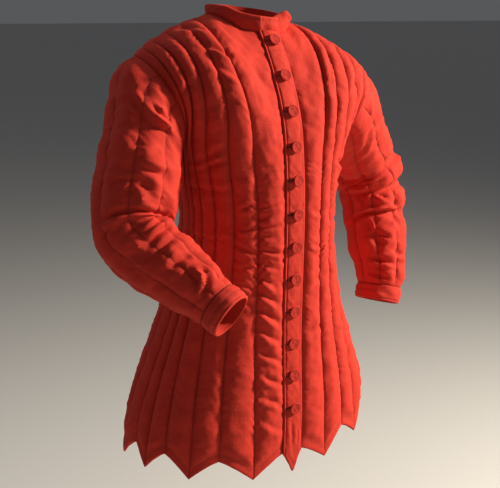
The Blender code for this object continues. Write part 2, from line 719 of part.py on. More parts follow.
def make_button(number, band_point, band_normal, cloth):
    """A flat covered button on its short shank, standing on the band."""
    wall = Wall()
    side_way = unit(np.cross((0.0, 1.0, 0.0), band_normal))
    up_way = np.cross(band_normal, side_way)
    foot = band_point + band_normal * BUTTON_CLEARANCE
    rings = []
    turns = [2 * math.pi * i / BUTTON_SIDES for i in range(BUTTON_SIDES)]
    for share, height in BUTTON_OUTLINE:
        radius = share * BUTTON_RADIUS
        rings.append(wall.row([
            foot + band_normal * height
            + (side_way * math.cos(t) + up_way * math.sin(t)) * radius for t in turns
        ]))
    bottom = wall.row([foot])[0]
    crown = wall.row([foot + band_normal * BUTTON_CROWN])[0]
    for a, b in zip(rings, rings[1:]):
        for i in range(BUTTON_SIDES):
            j = (i + 1) % BUTTON_SIDES
            wall.faces.append((a[i], a[j], b[j]))
            wall.faces.append((a[i], b[j], b[i]))
    for i in range(BUTTON_SIDES):
        j = (i + 1) % BUTTON_SIDES
        wall.faces.append((bottom, rings[0][j], rings[0][i]))
        wall.faces.append((crown, rings[-1][i], rings[-1][j]))
    wall.make(f"button_{number:02d}", cloth)


def main():
    for thing in list(bpy.data.objects):
        bpy.data.objects.remove(thing)
    cloth = {
        name: material(name, COLOURS["cloth"]) for name in (
            "front_right", "front_left", "back", "button_band", "collar",
            "sleeve_right", "sleeve_left", "cuff_right", "cuff_left",
        )
    }
    fronts, back, sleeves = build_body()
    seam_line_normals(fronts, back)

    ways = BAND_COLUMNS
    band_columns = [((w, w, w), 0.0, 1 - abs(2 * w + 1), True) for w in ways]
    band_grid, band_normals, _ = make_panel(-1, -1, band_columns)
    band_grid = inset(band_grid, last=False)
    right_normals = fronts["right"][1]
    for row in range(len(band_grid)):
        share_normal((right_normals, (row, 0)), (band_normals, (row, -1)))
    sheet_wall(
        band_grid + band_normals * BAND_LIFT,
        band_grid + band_normals * (BAND_LIFT + BAND_WALL), [True] * len(ways),
    ).make("button_band", cloth["button_band"])

    for side, (grid, normals, height) in fronts.items():
        columns = panel_columns(f"front_{side}")
        marks = [column[3] for column in columns]
        for column in INNER_COLUMNS:
            marks[column] = True
        lap = grid.shape[1] - len(columns)
        wall = np.full(grid.shape[:2], SEAM_WALL) + height
        if lap:
            wall[:, :lap + 1] = UNDERLAP_WALL
        inner = inset(grid)
        outer = inner + normals * wall[:, :, None]
        keep = [True] * lap + marks
        sheet_wall(inner, outer, keep).make(f"front_{side}", cloth[f"front_{side}"])

    grid, normals, height, keep = back
    inner = inset(grid, first=True)
    outer = inner + normals * (SEAM_WALL + height)[:, :, None]
    sheet_wall(inner, outer, keep).make("back", cloth["back"])

    for side, (grid, normals, height) in sleeves.items():
        last = len(ARM_ROWS)
        inner = grid.copy()
        inner[0] += SEAM_INSET * unit(grid[1] - grid[0])
        inner[last:] += normals[last:] * CUFF_FLARE
        inner[last] = grid[last]
        outer = inner + normals * (SEAM_WALL + height)[:, :, None]
        sleeve = tube_wall(inner[:last], outer[:last], True)
        sleeve.make(f"sleeve_{side}", cloth[f"sleeve_{side}"])
        cuff = tube_wall(inner[last:], outer[last:], False)
        cuff.make(f"cuff_{side}", cloth[f"cuff_{side}"])

    inner, outer = make_collar(collar_base(fronts, back, band_grid, band_normals))
    sheet_wall(inner, outer, [True] * inner.shape[1]).make("collar", cloth["collar"])

    centre = len(ways) // 2
    heights = band_grid[:, centre, 2]
    for number in range(1, BUTTON_COUNT + 1):
        at = BUTTON_FIRST - BUTTON_PITCH * (number - 1)
        point = np.array([np.interp(at, heights, band_grid[:, centre, i]) for i in range(3)])
        normal = unit([np.interp(at, heights, band_normals[:, centre, i]) for i in range(3)])
        surface = point + normal * (BAND_LIFT + BAND_WALL)
        colour = material(f"button_{number:02d}", COLOURS["button_cloth"])
        make_button(number, surface, normal, colour)


main()
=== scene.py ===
import math

import bmesh
import bpy
import numpy as np
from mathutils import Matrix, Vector
from mathutils.bvhtree import BVHTree


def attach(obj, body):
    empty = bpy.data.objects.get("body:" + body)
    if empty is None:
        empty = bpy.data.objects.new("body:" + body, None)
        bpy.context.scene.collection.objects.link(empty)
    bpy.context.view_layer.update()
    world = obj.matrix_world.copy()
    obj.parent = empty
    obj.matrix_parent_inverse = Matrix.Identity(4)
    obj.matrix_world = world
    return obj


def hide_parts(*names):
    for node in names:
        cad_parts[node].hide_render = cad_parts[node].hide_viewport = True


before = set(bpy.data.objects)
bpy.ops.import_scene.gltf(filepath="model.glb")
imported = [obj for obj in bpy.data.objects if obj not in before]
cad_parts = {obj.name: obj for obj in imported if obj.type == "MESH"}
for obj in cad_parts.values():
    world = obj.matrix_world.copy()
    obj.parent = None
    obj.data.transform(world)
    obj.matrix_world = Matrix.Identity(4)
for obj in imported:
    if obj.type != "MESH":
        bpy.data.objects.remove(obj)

# Wall and quilting
SEAM_WALL = 0.004
BODY_PUFF = 0.007
SLEEVE_PUFF = 0.005
PUFF_ROUNDNESS = 2.2
UNDERLAP_WALL = 0.0025
BAND_LIFT = 0.0028
BAND_WALL = 0.0035
# Below zero: here the sewn edges run a little under each other
SEAM_INSET = -0.0005
# Share of the quilting height left on the last rows before a cross seam
PUFF_AT_SEAM = 0.0
PUFF_BESIDE_SEAM = 0.75

# Centre front
BAND_HALF = 0.021
EDGE = BAND_HALF + 0.0003
UNDERLAP_REACH = -0.83
UNDERLAP_MID = -0.42
BAND_COLUMNS = (-0.985, -0.75, -0.5, -0.25, -0.007)

# Hem
HEM_HEIGHT = -0.804
DAG_DEPTH = 0.038
DAG_POWER = 1.3
HEM_FOLLOW = (1.0, 0.45, 0.12)

# Body sections at the inner face. Columns: height, half width, depth of the front, depth
# of the back, shift along Y, shift along X, roll in degrees, rise at the sides per metre
BODY = (
    (-0.86, 0.253, 0.158, 0.168, 0.000, -0.010, 4.5, 0.65),
    (-0.80, 0.242, 0.155, 0.165, 0.000, -0.009, 4.5, 0.65),
    (-0.70, 0.222, 0.156, 0.160, 0.004, -0.005, 4.0, 0.40),
    (-0.606, 0.188, 0.145, 0.145, 0.004, -0.002, 3.0, 0.15),
    (-0.50, 0.154, 0.138, 0.130, -0.005, 0.000, 2.0, 0.00),
    (-0.39, 0.134, 0.127, 0.110, -0.020, 0.000, 1.0, 0.00),
    (-0.29, 0.144, 0.1255, 0.115, -0.0235, 0.000, 0.0, 0.00),
    (-0.245, 0.163, 0.1265, 0.122, -0.0155, 0.000, -1.5, 0.00),
)
SQUARENESS = 2.3
ARC_SAMPLES = 61
ROW_HEIGHTS = (
    HEM_HEIGHT, -0.775, -0.742, -0.70, -0.652, -0.602, -0.552,
    -0.502, -0.455, -0.41, -0.37, -0.33, -0.288, -0.245,
)
UPPER_ROWS = 12

# Channel lines as shares of the way from the centre to the side seam: at the hem, at the
# chest, and along the neckline and shoulder. They run evenly between those heights.
LINES = {
    "front_right": (
        (0.0, 0.20, 0.42, 0.59, 0.75, 0.88, 1.0),
        (0.0, 0.285, 0.50, 0.69, 0.84, 0.93, 1.0),
        (0.0, 0.34, 0.50, 0.66, 0.80, 0.91, 1.0),
    ),
    "front_left": (
        (0.0, 0.19, 0.36, 0.51, 0.67, 0.84, 1.0),
        (0.0, 0.21, 0.37, 0.54, 0.70, 0.86, 1.0),
        (0.0, 0.20, 0.36, 0.54, 0.69, 0.85, 1.0),
    ),
    "back": (
        (0.0, 0.167, 0.333, 0.50, 0.667, 0.833, 1.0),
        (0.0, 0.167, 0.333, 0.51, 0.69, 0.86, 1.0),
        (0.0, 0.167, 0.333, 0.51, 0.69, 0.86, 1.0),
    ),
}
LINES_BLEND = (-0.75, -0.245)
STEPS = {
    "front_right": (9, 4, 4, 4, 4, 4), "front_left": (9, 4, 4, 4, 4, 4),
    "back": (4, 4, 4, 4, 4, 4),
}
# Column and share across at which the neckline ends and the shoulder seam starts
NECK_COLUMN = {"front_right": 5, "front_left": 7, "back": 6}
NECK_WAY = {"front_right": 0.135, "front_left": 0.135, "back": 0.25}
# Further columns that the inside of a front keeps in its first channel
INNER_COLUMNS = (3, 5, 6, 7)

# Neck and shoulders
NECK_CENTRE = (0.0, 0.012)
NECK_RADIUS = 0.073
NECK_ROLL = -4.0
NECK_SIDE_ANGLE = 90.0
# Columns: angle from the centre front in degrees, height of the neckline
NECK_LINE = (
    (0.0, -0.031), (25.0, -0.0305), (45.0, -0.0265), (60.0, -0.0155),
    (75.0, -0.008), (95.0, -0.004), (130.0, -0.001), (180.0, 0.003),
)
SHOULDER = {"right": (-0.235, 0.010, -0.072), "left": (0.255, 0.000, -0.106)}
SHOULDER_ARCH = 0.012

# How the rows leave the chest and reach the top, for the wearer's left side.
# Columns: share across, then the leaving and the arriving tangent, X Y Z each
FRONT_RISE = (
    (0.0, 0.00, -0.01, 0.20, 0.00, 0.14, 0.20),
    (0.06, 0.00, -0.02, 0.20, -0.05, 0.20, 0.20),
    (0.135, 0.00, -0.03, 0.21, -0.12, 0.355, 0.15),
    (0.2, 0.00, -0.04, 0.22, -0.07, 0.385, 0.13),
    (0.35, 0.00, -0.07, 0.23, -0.02, 0.40, 0.12),
    (0.5, 0.00, -0.10, 0.24, 0.00, 0.40, 0.12),
    (0.76, 0.03, -0.14, 0.25, 0.02, 0.37, 0.10),
    (0.91, 0.05, -0.22, 0.20, 0.04, 0.33, 0.09),
    (1.0, 0.05, -0.27, 0.14, 0.07, 0.26, 0.08),
)
BACK_RISE = (
    (0.0, 0.00, 0.10, 0.20, 0.00, -0.16, 0.16),
    (0.12, 0.00, 0.11, 0.22, -0.05, -0.22, 0.15),
    (0.25, 0.00, 0.13, 0.24, -0.11, -0.38, 0.12),
    (0.34, 0.00, 0.14, 0.24, -0.06, -0.405, 0.11),
    (0.5, 0.00, 0.16, 0.24, 0.00, -0.40, 0.10),
    (0.76, 0.03, 0.18, 0.25, 0.02, -0.37, 0.10),
    (0.91, 0.05, 0.24, 0.20, 0.04, -0.31, 0.09),
    (1.0, 0.05, 0.30, 0.13, 0.07, -0.26, 0.08),
)

# Sleeves: rings across the arm. Columns: way along, centre X Y Z, facing X Y Z,
# radius outwards, radius forwards, roundness (0 keeps the armhole's shape)
ARM_RINGS = {
    "right": (
        (0.000, -0.198, -0.003, -0.160, -0.90, -0.02, -0.40, 0.088, 0.078, 0.0),
        (0.0202, -0.2155, -0.007, -0.168, -0.86, -0.05, -0.48, 0.085, 0.078, 0.12),
        (0.061, -0.233, -0.020, -0.193, -0.74, -0.10, -0.67, 0.069, 0.071, 0.65),
        (0.1317, -0.256, -0.038, -0.262, -0.42, -0.18, -0.89, 0.069, 0.070, 1.0),
        (0.199, -0.276, -0.051, -0.325, -0.25, -0.32, -0.91, 0.067, 0.068, 1.0),
        (0.2455, -0.285, -0.062, -0.367, 0.03, -0.53, -0.85, 0.063, 0.064, 1.0),
        (0.3046, -0.269, -0.094, -0.402, 0.33, -0.72, -0.61, 0.058, 0.060, 1.0),
        (0.376, -0.2395, -0.1445, -0.436, 0.42, -0.745, -0.52, 0.050, 0.052, 1.0),
        (0.4651, -0.202, -0.211, -0.482, 0.42, -0.745, -0.52, 0.038, 0.039, 1.0),
        (0.499, -0.188, -0.236, -0.500, 0.42, -0.745, -0.52, 0.037, 0.038, 1.0),
    ),
    "left": (
        (0.000, 0.2075, -0.008, -0.182, 0.83, 0.00, -0.55, 0.080, 0.078, 0.0),
        (0.0206, 0.222, -0.001, -0.1925, 0.80, 0.08, -0.59, 0.078, 0.077, 0.12),
        (0.070, 0.244, 0.018, -0.217, 0.68, 0.26, -0.68, 0.069, 0.071, 0.65),
        (0.131, 0.279, 0.044, -0.258, 0.64, 0.34, -0.69, 0.066, 0.068, 1.0),
        (0.195, 0.324, 0.062, -0.305, 0.46, 0.24, -0.85, 0.063, 0.065, 1.0),
        (0.241, 0.345, 0.067, -0.350, 0.22, 0.02, -0.97, 0.060, 0.062, 1.0),
        (0.297, 0.349, 0.056, -0.405, 0.00, -0.18, -0.98, 0.057, 0.058, 1.0),
        (0.365, 0.344, 0.038, -0.470, -0.08, -0.22, -0.97, 0.053, 0.055, 1.0),
        (0.4595, 0.335, 0.013, -0.558, -0.25, -0.15, -0.955, 0.041, 0.043, 1.0),
        (0.494, 0.326, 0.010, -0.592, -0.30, -0.12, -0.945, 0.040, 0.042, 1.0),
    ),
}
ARM_ROWS = (
    0.0, 0.018, 0.040, 0.062, 0.085, 0.108, 0.130, 0.150, 0.170, 0.187, 0.203, 0.218, 0.232,
    0.246, 0.260, 0.276, 0.292, 0.310, 0.330, 0.352, 0.375, 0.400, 0.425, 0.446, 0.4625,
)
CUFF_ROWS = (0.4628, 0.480, 0.4965)
CUFF_FLARE = 0.0012
ARM_STEPS = 3
# Folds pressed into the sleeves. Columns: way along, angle from the outer side towards
# the front in degrees, height (minus is a hollow), length along, width in degrees
ARM_FOLDS = {
    "right": (
        (0.095, 75.0, -0.008, 0.024, 38.0),
        (0.122, 60.0, 0.005, 0.022, 45.0),
        (0.205, 115.0, 0.003, 0.026, 75.0),
        (0.245, 120.0, -0.004, 0.022, 65.0),
        (0.325, 60.0, -0.006, 0.022, 45.0),
        (0.385, 75.0, -0.007, 0.022, 38.0),
        (0.415, 60.0, 0.004, 0.020, 45.0),
    ),
    "left": (
        (0.150, 60.0, 0.006, 0.022, 90.0),
        (0.180, 70.0, -0.009, 0.017, 80.0),
        (0.212, 70.0, 0.007, 0.020, 90.0),
        (0.243, 80.0, -0.009, 0.017, 80.0),
        (0.275, 60.0, 0.006, 0.020, 70.0),
        (0.310, 90.0, -0.006, 0.018, 60.0),
        (0.350, 60.0, 0.004, 0.025, 60.0),
    ),
}
# A hollow this deep presses the quilting nearly flat
FLATTEN_DEPTH = 0.0045
FLATTEN_SHARE = 0.85
# Near the armhole the wall turns towards its seam over this distance
SEAM_TURN = 0.020
# The quilting rises from nothing at the armpit over this distance
ARMPIT_EASE = 0.055

# Collar
# Columns: angle from the centre front in degrees, height of the top edge, lean outwards
COLLAR_TOP = {
    "right": (
        (-20.0, -0.002, 0.001), (0.0, -0.002, 0.001), (30.0, 0.001, 0.001),
        (45.0, 0.005, 0.001), (60.0, 0.012, 0.0), (80.0, 0.015, 0.0),
        (123.0, 0.017, 0.0), (180.0, 0.020, 0.0),
    ),
    "left": (
        (-20.0, -0.008, -0.001), (0.0, -0.006, -0.001), (17.0, 0.004, 0.0),
        (24.0, 0.012, 0.006), (32.0, 0.008, 0.009), (57.0, -0.001, 0.007),
        (85.0, 0.007, 0.003), (123.0, 0.015, 0.001), (180.0, 0.020, 0.0),
    ),
}
COLLAR_ROWS = (0.0, 0.33, 0.66, 1.0)
COLLAR_RIGHT_END = (-0.93, -0.58, -0.17)

# Buttons
BUTTON_FIRST = -0.048
BUTTON_PITCH = 0.0609
BUTTON_COUNT = 12
BUTTON_RADIUS = 0.011
BUTTON_SIDES = 16
BUTTON_CLEARANCE = 0.0003
# Outline of a button from its foot: radius as a share of the full one, height in metres
BUTTON_OUTLINE = (
    (0.22, 0.0), (0.20, 0.0030), (0.93, 0.0034), (1.0, 0.0054), (0.88, 0.0070),
)
BUTTON_CROWN = 0.0074

COLOURS = {
    "cloth": (0.50, 0.030, 0.018, 1.0),
    "button_cloth": (0.42, 0.024, 0.016, 1.0),
}
CLOTH_ROUGHNESS = 0.85

# Studio
FLOOR = -1.45
CAMERA_AWAY = 2.2
CAMERA_TURN = 33.0
CAMERA_PITCH = 11.4
CAMERA_HEIGHT = 0.01
WORLD_LIGHT = 0.11
# Columns: name, place, aim, size, power, tint
LIGHTS = (
    ("key", (2.85, -1.60, 1.05), (0.0, 0.0, -0.35), 0.5, 290.0, (1.0, 0.90, 0.74)),
    ("fill", (-1.6, -3.0, 0.6), (0.0, 0.0, -0.40), 2.0, 6.0, (1.0, 0.98, 0.95)),
    ("top", (0.6, 0.3, 2.4), (0.0, 0.0, -0.30), 1.6, 12.0, (1.0, 0.98, 0.96)),
    ("back_rim", (-1.8, 2.2, 0.9), (0.0, 0.0, -0.40), 1.4, 12.0, (1.0, 0.99, 0.98)),
)


def unit(vectors):
    """Vectors made one long."""
    vectors = np.asarray(vectors, float)
    return vectors / np.maximum(np.linalg.norm(vectors, axis=-1, keepdims=True), 1e-12)


def smooth(table, at):
    """A row of a table at any value of its first column, along a smooth curve."""
    rows = np.asarray(table, float)
    keys = rows[:, 0]
    at = min(max(at, keys[0]), keys[-1])
    slopes = np.gradient(rows[:, 1:], keys, axis=0)
    i = min(int(np.searchsorted(keys, at, side="right")) - 1, len(keys) - 2)
    width = keys[i + 1] - keys[i]
    t = (at - keys[i]) / width
    return (
        (2 * t**3 - 3 * t**2 + 1) * rows[i, 1:]
        + (t**3 - 2 * t**2 + t) * width * slopes[i]
        + (3 * t**2 - 2 * t**3) * rows[i + 1, 1:]
        + (t**3 - t**2) * width * slopes[i + 1]
    )


def puff(share):
    """Height of a quilted channel across its width, 0 at both lines and 1 at the crown."""
    return 1.0 - abs(2.0 * share - 1.0) ** PUFF_ROUNDNESS


def quarter_arc(half_width, depth):
    """Points of a quarter section from its centre to its side, and the way to each."""
    angles = np.linspace(0.0, math.pi / 2, ARC_SAMPLES)
    across = half_width * np.sin(angles) ** (2 / SQUARENESS)
    out = depth * np.cos(angles) ** (2 / SQUARENESS)
    steps = np.hypot(np.diff(across), np.diff(out))
    return across, out, np.concatenate(([0.0], np.cumsum(steps)))


def body_point(height, side, face, way):
    """A point of the inner face: side is -1 right or 1 left, face -1 front or 1 back.

    way is the share from the centre (0) to the side seam (1). On the front it starts at
    the band's edge, and values down to -1 run across the band to its other edge.
    """
    half_width, front, back, y_shift, x_shift, roll, rise = smooth(BODY, height)
    across, out, length = quarter_arc(half_width, front if face < 0 else back)
    start = EDGE if face < 0 else 0.0
    along = start + way * (length[-1] - start) if way >= 0 else start * (1 + 2 * way)
    x = math.copysign(1.0, along) * side * np.interp(abs(along), length, across)
    y = y_shift + face * np.interp(abs(along), length, out)
    z = height + math.tan(math.radians(roll)) * x + rise * x * x
    return np.array([x + x_shift, y, z])


def neck_point(side, angle):
    """A point of the neckline; the angle runs from the centre front towards the side."""
    turn = math.radians(angle)
    x = NECK_CENTRE[0] + side * NECK_RADIUS * math.sin(turn)
    y = NECK_CENTRE[1] - NECK_RADIUS * math.cos(turn)
    z = smooth(NECK_LINE, abs(angle))[0] + math.tan(math.radians(NECK_ROLL)) * x
    return np.array([x, y, z])


def panel_name(side, face):
    """The panel on one side of the body: side -1 right or 1 left, face -1 front or 1 back."""
    if face > 0:
        return "back"
    return "front_left" if side > 0 else "front_right"


def top_point(side, face, way):
    """Where a row ends at the top: on the neckline, or on the shoulder seam beyond it."""
    neck = NECK_WAY[panel_name(side, face)]
    edge_angle = math.degrees(math.asin(EDGE / NECK_RADIUS))
    if face < 0 and way < 0:
        return neck_point(side, edge_angle * (1 + 2 * way))
    if way <= neck and face < 0:
        return neck_point(side, edge_angle + (NECK_SIDE_ANGLE - edge_angle) * way / neck)
    if way <= neck:
        return neck_point(side, 180.0 + (NECK_SIDE_ANGLE - 180.0) * way / neck)
    share = (way - neck) / (1 - neck)
    tip = np.array(SHOULDER["left" if side > 0 else "right"])
    point = neck_point(side, NECK_SIDE_ANGLE) * (1 - share) + tip * share
    point[2] += SHOULDER_ARCH * 4 * share * (1 - share)
    return point


def panel_point(side, face, ways, row, dag):
    """A point of a front or back on one of its rows, from the hem to the top."""
    hem_way, chest_way, top_way = ways
    if row < len(ROW_HEIGHTS):
        height = ROW_HEIGHTS[row]
        mix = (height - LINES_BLEND[0]) / (LINES_BLEND[1] - LINES_BLEND[0])
        mix = min(max(mix, 0.0), 1.0)
        if row < len(HEM_FOLLOW):
            height -= DAG_DEPTH * HEM_FOLLOW[row] * dag**DAG_POWER
        return body_point(height, side, face, hem_way * (1 - mix) + chest_way * mix)
    v = (row - len(ROW_HEIGHTS) + 1) / UPPER_ROWS
    tangents = smooth(FRONT_RISE if face < 0 else BACK_RISE, max(top_way, 0.0))
    leave = tangents[:3] * (side, 1, 1)
    arrive = tangents[3:] * (side, 1, 1)
    start = body_point(ROW_HEIGHTS[-1], side, face, chest_way)
    end = top_point(side, face, top_way)
    return (
        (2 * v**3 - 3 * v**2 + 1) * start
        + (v**3 - 2 * v**2 + v) * leave
        + (3 * v**2 - 2 * v**3) * end
        + (v**3 - v**2) * arrive
    )


def panel_columns(name):
    """Columns across a front or half the back: ways at hem, chest and top, puff, dag, line."""
    steps = STEPS[name]
    neck = NECK_COLUMN[name]
    columns = []
    for channel, count in enumerate(steps):
        for step in range(count + (channel == len(steps) - 1)):
            share = step / count
            ways = [row[channel] * (1 - share) + row[channel + 1] * share for row in LINES[name]]
            column = len(columns)
            if column <= neck:
                ways[-1] = NECK_WAY[name] * column / neck
            elif column < steps[0]:
                past = (column - neck) / (steps[0] - neck)
                ways[-1] = NECK_WAY[name] * (1 - past) + LINES[name][-1][1] * past
            dag = share if channel % 2 == 0 else 1 - share
            columns.append((tuple(ways), puff(share), dag, share in (0.0, 1.0)))
    return columns


def grid_normals(grid, closed=False):
    """Normals of a grid of points, rows by columns."""
    if closed:
        wrapped = np.concatenate((grid[:, -1:], grid, grid[:, :1]), axis=1)
        across = wrapped[:, 2:] - wrapped[:, :-2]
    else:
        across = np.gradient(grid, axis=1)
    return unit(np.cross(across, np.gradient(grid, axis=0)))


def make_panel(side, face, columns):
    """Grid and outward normals of half a front or back, and its quilting heights."""
    rows = len(ROW_HEIGHTS) + UPPER_ROWS
    grid = np.array([
        [panel_point(side, face, ways, row, dag) for ways, _, dag, _ in columns]
        for row in range(rows)
    ])
    normals = grid_normals(grid) * (side * -face)
    height = np.ones((rows, len(columns)))
    height[-1] *= PUFF_AT_SEAM
    height[-2] *= PUFF_BESIDE_SEAM
    return grid, normals, height


def whole_back():
    """Both halves of the back joined into one grid, from the right side to the left."""
    half = panel_columns("back")
    right = make_panel(-1, 1, half)
    left = make_panel(1, 1, half)
    grid, _, height = (
        np.concatenate((a[:, ::-1], b[:, 1:]), axis=1) for a, b in zip(right, left)
    )
    marks = [column[3] for column in half]
    marks[NECK_COLUMN["back"]] = True
    return grid, -grid_normals(grid), height, marks[::-1] + marks[1:]


def arm_frames(side, ways):
    """Centre, outward and forward directions and sizes of the sleeve's rings."""
    frames = []
    out = None
    for way in ways:
        ring = smooth(ARM_RINGS[side], way)
        facing = unit(ring[3:6])
        if out is None:
            out = np.array([0.0, 0.0, 1.0])
        out = unit(out - facing * np.dot(out, facing))
        forward = np.cross(facing, out) * (1 if side == "left" else -1)
        frames.append((ring[:3], facing, out, forward, ring[6], ring[7], ring[8]))
    return frames


def fold_height(side, way, angle):
    """How far the folds move a point of the sleeve outwards."""
    total = 0.0
    for at, around, height, length, width in ARM_FOLDS[side]:
        turn = (angle - around + 180.0) % 360.0 - 180.0
        total += height * math.exp(-(((way - at) / length) ** 2) - (turn / width) ** 2)
    return total


def armpit_ease(grid, armpit):
    """Share of the quilting height that stays at each point near the armpit."""
    away = np.linalg.norm(grid - armpit, axis=2) / ARMPIT_EASE
    return np.clip(away, 0.0, 1.0) ** 1.5


def turn_to_seam(grid, normals, height, edge, first_row):
    """Leans the normals beside an armhole towards those of its seam, and thins the wall."""
    for row in range(first_row, len(grid) - 1):
        seam = normals[row, edge].copy()
        away = np.linalg.norm(grid[row] - grid[row, edge], axis=1, keepdims=True) / SEAM_TURN
        share = np.clip(away, 0.0, 1.0)
        normals[row] = unit(seam * (1 - share) + normals[row] * share)
        height[row] *= share[:, 0]


def make_sleeve(side, armhole):
    """Grid, normals and quilting heights of a sleeve and cuff, ring by ring."""
    ways = ARM_ROWS + CUFF_ROWS
    frames = arm_frames(side, ways)
    count = len(armhole)
    centre, facing, out, forward = frames[0][:4]
    local = np.array([
        [np.dot(p - centre, axis) for axis in (out, forward, facing)] for p in armhole
    ])
    rings = []
    for way, (centre, facing, out, forward, r_out, r_front, round_share) in zip(ways, frames):
        ring = []
        for k in range(count):
            angle = 360.0 * k / count
            turn = math.radians(angle)
            fold = 1.0 if way > ARM_ROWS[0] else 0.0
            swell = 1.0 + fold * fold_height(side, way, angle) / r_out
            oval = np.array([
                r_out * math.cos(turn) * swell, r_front * math.sin(turn) * swell, 0.0,
            ])
            a, b, c = local[k] * (1 - round_share) + oval * round_share
            ring.append(centre + out * a + forward * b + facing * c)
        rings.append(ring)
    grid = np.array(rings)
    normals = grid_normals(grid, closed=True)
    middle = grid.mean(axis=1, keepdims=True)
    if ((grid - middle) * normals).sum() < 0:
        normals = -normals
    height = np.zeros((len(ways), count))
    last = len(ARM_ROWS) - 1
    for row in range(1, last):
        ease = PUFF_BESIDE_SEAM if row in (1, last - 1) else 1.0
        for k in range(count):
            hollow = -fold_height(side, ways[row], 360.0 * k / count) / FLATTEN_DEPTH
            flat = 1.0 - FLATTEN_SHARE * min(max(hollow, 0.0), 1.0)
            height[row, k] = ease * flat
    height *= armpit_ease(grid, grid[0, count // 2])
    return grid, normals, height


def inset(grid, top=True, first=False, last=True):
    """Draws the sewn edges of a grid back from the seam, along the cloth."""
    moved = grid.copy()
    if top:
        moved[-1] += SEAM_INSET * unit(grid[-2] - grid[-1])
    if first:
        moved[:, 0] += SEAM_INSET * unit(grid[:, 1] - grid[:, 0])
    if last:
        moved[:, -1] += SEAM_INSET * unit(grid[:, -2] - grid[:, -1])
    return moved


def share_normal(*spots):
    """Gives several (normals, index) spots their mean direction."""
    mean = unit(sum(normals[index] for normals, index in spots))
    for normals, index in spots:
        normals[index] = mean


def build_body():
    """Grids of the fronts, back and sleeves, with seams that share their edges."""
    chest = len(ROW_HEIGHTS) - 1
    lap = [((w, w, w), 0.0, 0.0, True) for w in (UNDERLAP_REACH, UNDERLAP_MID)]
    fronts = {
        "right": make_panel(-1, -1, panel_columns("front_right")),
        "left": make_panel(1, -1, lap + panel_columns("front_left")),
    }
    back_grid, back_normals, back_height, back_marks = whole_back()
    back_edge = {"right": 0, "left": -1}
    sleeves = {}
    rows = back_grid.shape[0]
    for side, (grid, normals, height) in fronts.items():
        edge = back_edge[side]
        armhole = [grid[r, -1] for r in range(rows - 1, chest - 1, -1)]
        armhole += [back_grid[r, edge] for r in range(chest + 1, rows - 1)]
        sleeve = make_sleeve(side, armhole)
        arm = sleeve[1]
        height *= armpit_ease(grid, grid[chest, -1])
        back_height *= armpit_ease(back_grid, grid[chest, -1])
        for r in range(chest):
            share_normal((normals, (r, -1)), (back_normals, (r, edge)))
        under = rows - 1 - chest
        share_normal((normals, (chest, -1)), (back_normals, (chest, edge)), (arm, (0, under)))
        share_normal((normals, (rows - 1, -1)), (back_normals, (rows - 1, edge)), (arm, (0, 0)))
        for r in range(chest + 1, rows - 1):
            share_normal((normals, (r, -1)), (arm, (0, rows - 1 - r)))
            share_normal((back_normals, (r, edge)), (arm, (0, under + r - chest)))
        turn_to_seam(grid, normals, height, -1, chest)
        turn_to_seam(back_grid, back_normals, back_height, edge, chest)
        arm[len(ARM_ROWS) - 1] = unit(arm[len(ARM_ROWS) - 1] + arm[len(ARM_ROWS)])
        arm[len(ARM_ROWS)] = arm[len(ARM_ROWS) - 1]
        sleeves[side] = sleeve
    return fronts, (back_grid, back_normals, back_height, back_marks), sleeves


def seam_line_normals(fronts, back):
    """Gives both sides of each shoulder seam the same normals, changing evenly along it."""
    back_grid, back_normals = back[:2]
    middle = back_grid.shape[1] // 2
    for side, (_, normals, _) in fronts.items():
        name = f"front_{side}"
        lap = normals.shape[1] - 1 - sum(STEPS[name])
        turn = 1 if side == "left" else -1
        share_normal(
            (normals, (-1, lap + NECK_COLUMN[name])),
            (back_normals, (-1, middle + turn * NECK_COLUMN["back"])),
        )
        neck = normals[-1, lap + NECK_COLUMN[name]].copy()
        tip = normals[-1, -1].copy()
        for panel, target, first, step in (
            (name, normals, lap, 1), ("back", back_normals, middle, turn),
        ):
            columns = panel_columns(panel)
            for i in range(NECK_COLUMN[panel], len(columns)):
                share = (columns[i][0][2] - NECK_WAY[panel]) / (1 - NECK_WAY[panel])
                target[-1, first + step * i] = unit(neck * (1 - share) + tip * share)


def collar_base(fronts, back, band_grid, band_normals):
    """Neckline points from the collar's right end round to its left end."""
    back_grid, back_normals = back[:2]
    middle = back_grid.shape[1] // 2
    right_grid, right_normals = fronts["right"][:2]
    left_grid, left_normals = fronts["left"][:2]
    lap = left_grid.shape[1] - 1 - sum(STEPS["front_left"])
    spots = []
    middle_normal = band_normals[-1, 2]
    for way in COLLAR_RIGHT_END:
        at = panel_point(-1, -1, (way,) * 3, len(ROW_HEIGHTS) - 1 + UPPER_ROWS, 0.0)
        spots.append((at, middle_normal, BAND_LIFT, BAND_LIFT + BAND_WALL))
    edge = panel_point(-1, -1, (0.0,) * 3, len(ROW_HEIGHTS) - 1 + UPPER_ROWS, 0.0)
    spots.append((edge, band_normals[-1, -1], BAND_LIFT, BAND_LIFT + BAND_WALL))
    for i in range(1, NECK_COLUMN["front_right"] + 1):
        spots.append((right_grid[-1, i], right_normals[-1, i], 0.0, SEAM_WALL))
    for i in range(middle - NECK_COLUMN["back"] + 1, middle + NECK_COLUMN["back"]):
        spots.append((back_grid[-1, i], back_normals[-1, i], 0.0, SEAM_WALL))
    for i in range(lap + NECK_COLUMN["front_left"], lap - 1, -1):
        wall = SEAM_WALL if i > lap else UNDERLAP_WALL
        spots.append((left_grid[-1, i], left_normals[-1, i], 0.0, wall))
    for i in range(lap - 1, -1, -1):
        spots.append((left_grid[-1, i], middle_normal, 0.0, UNDERLAP_WALL))
    return spots


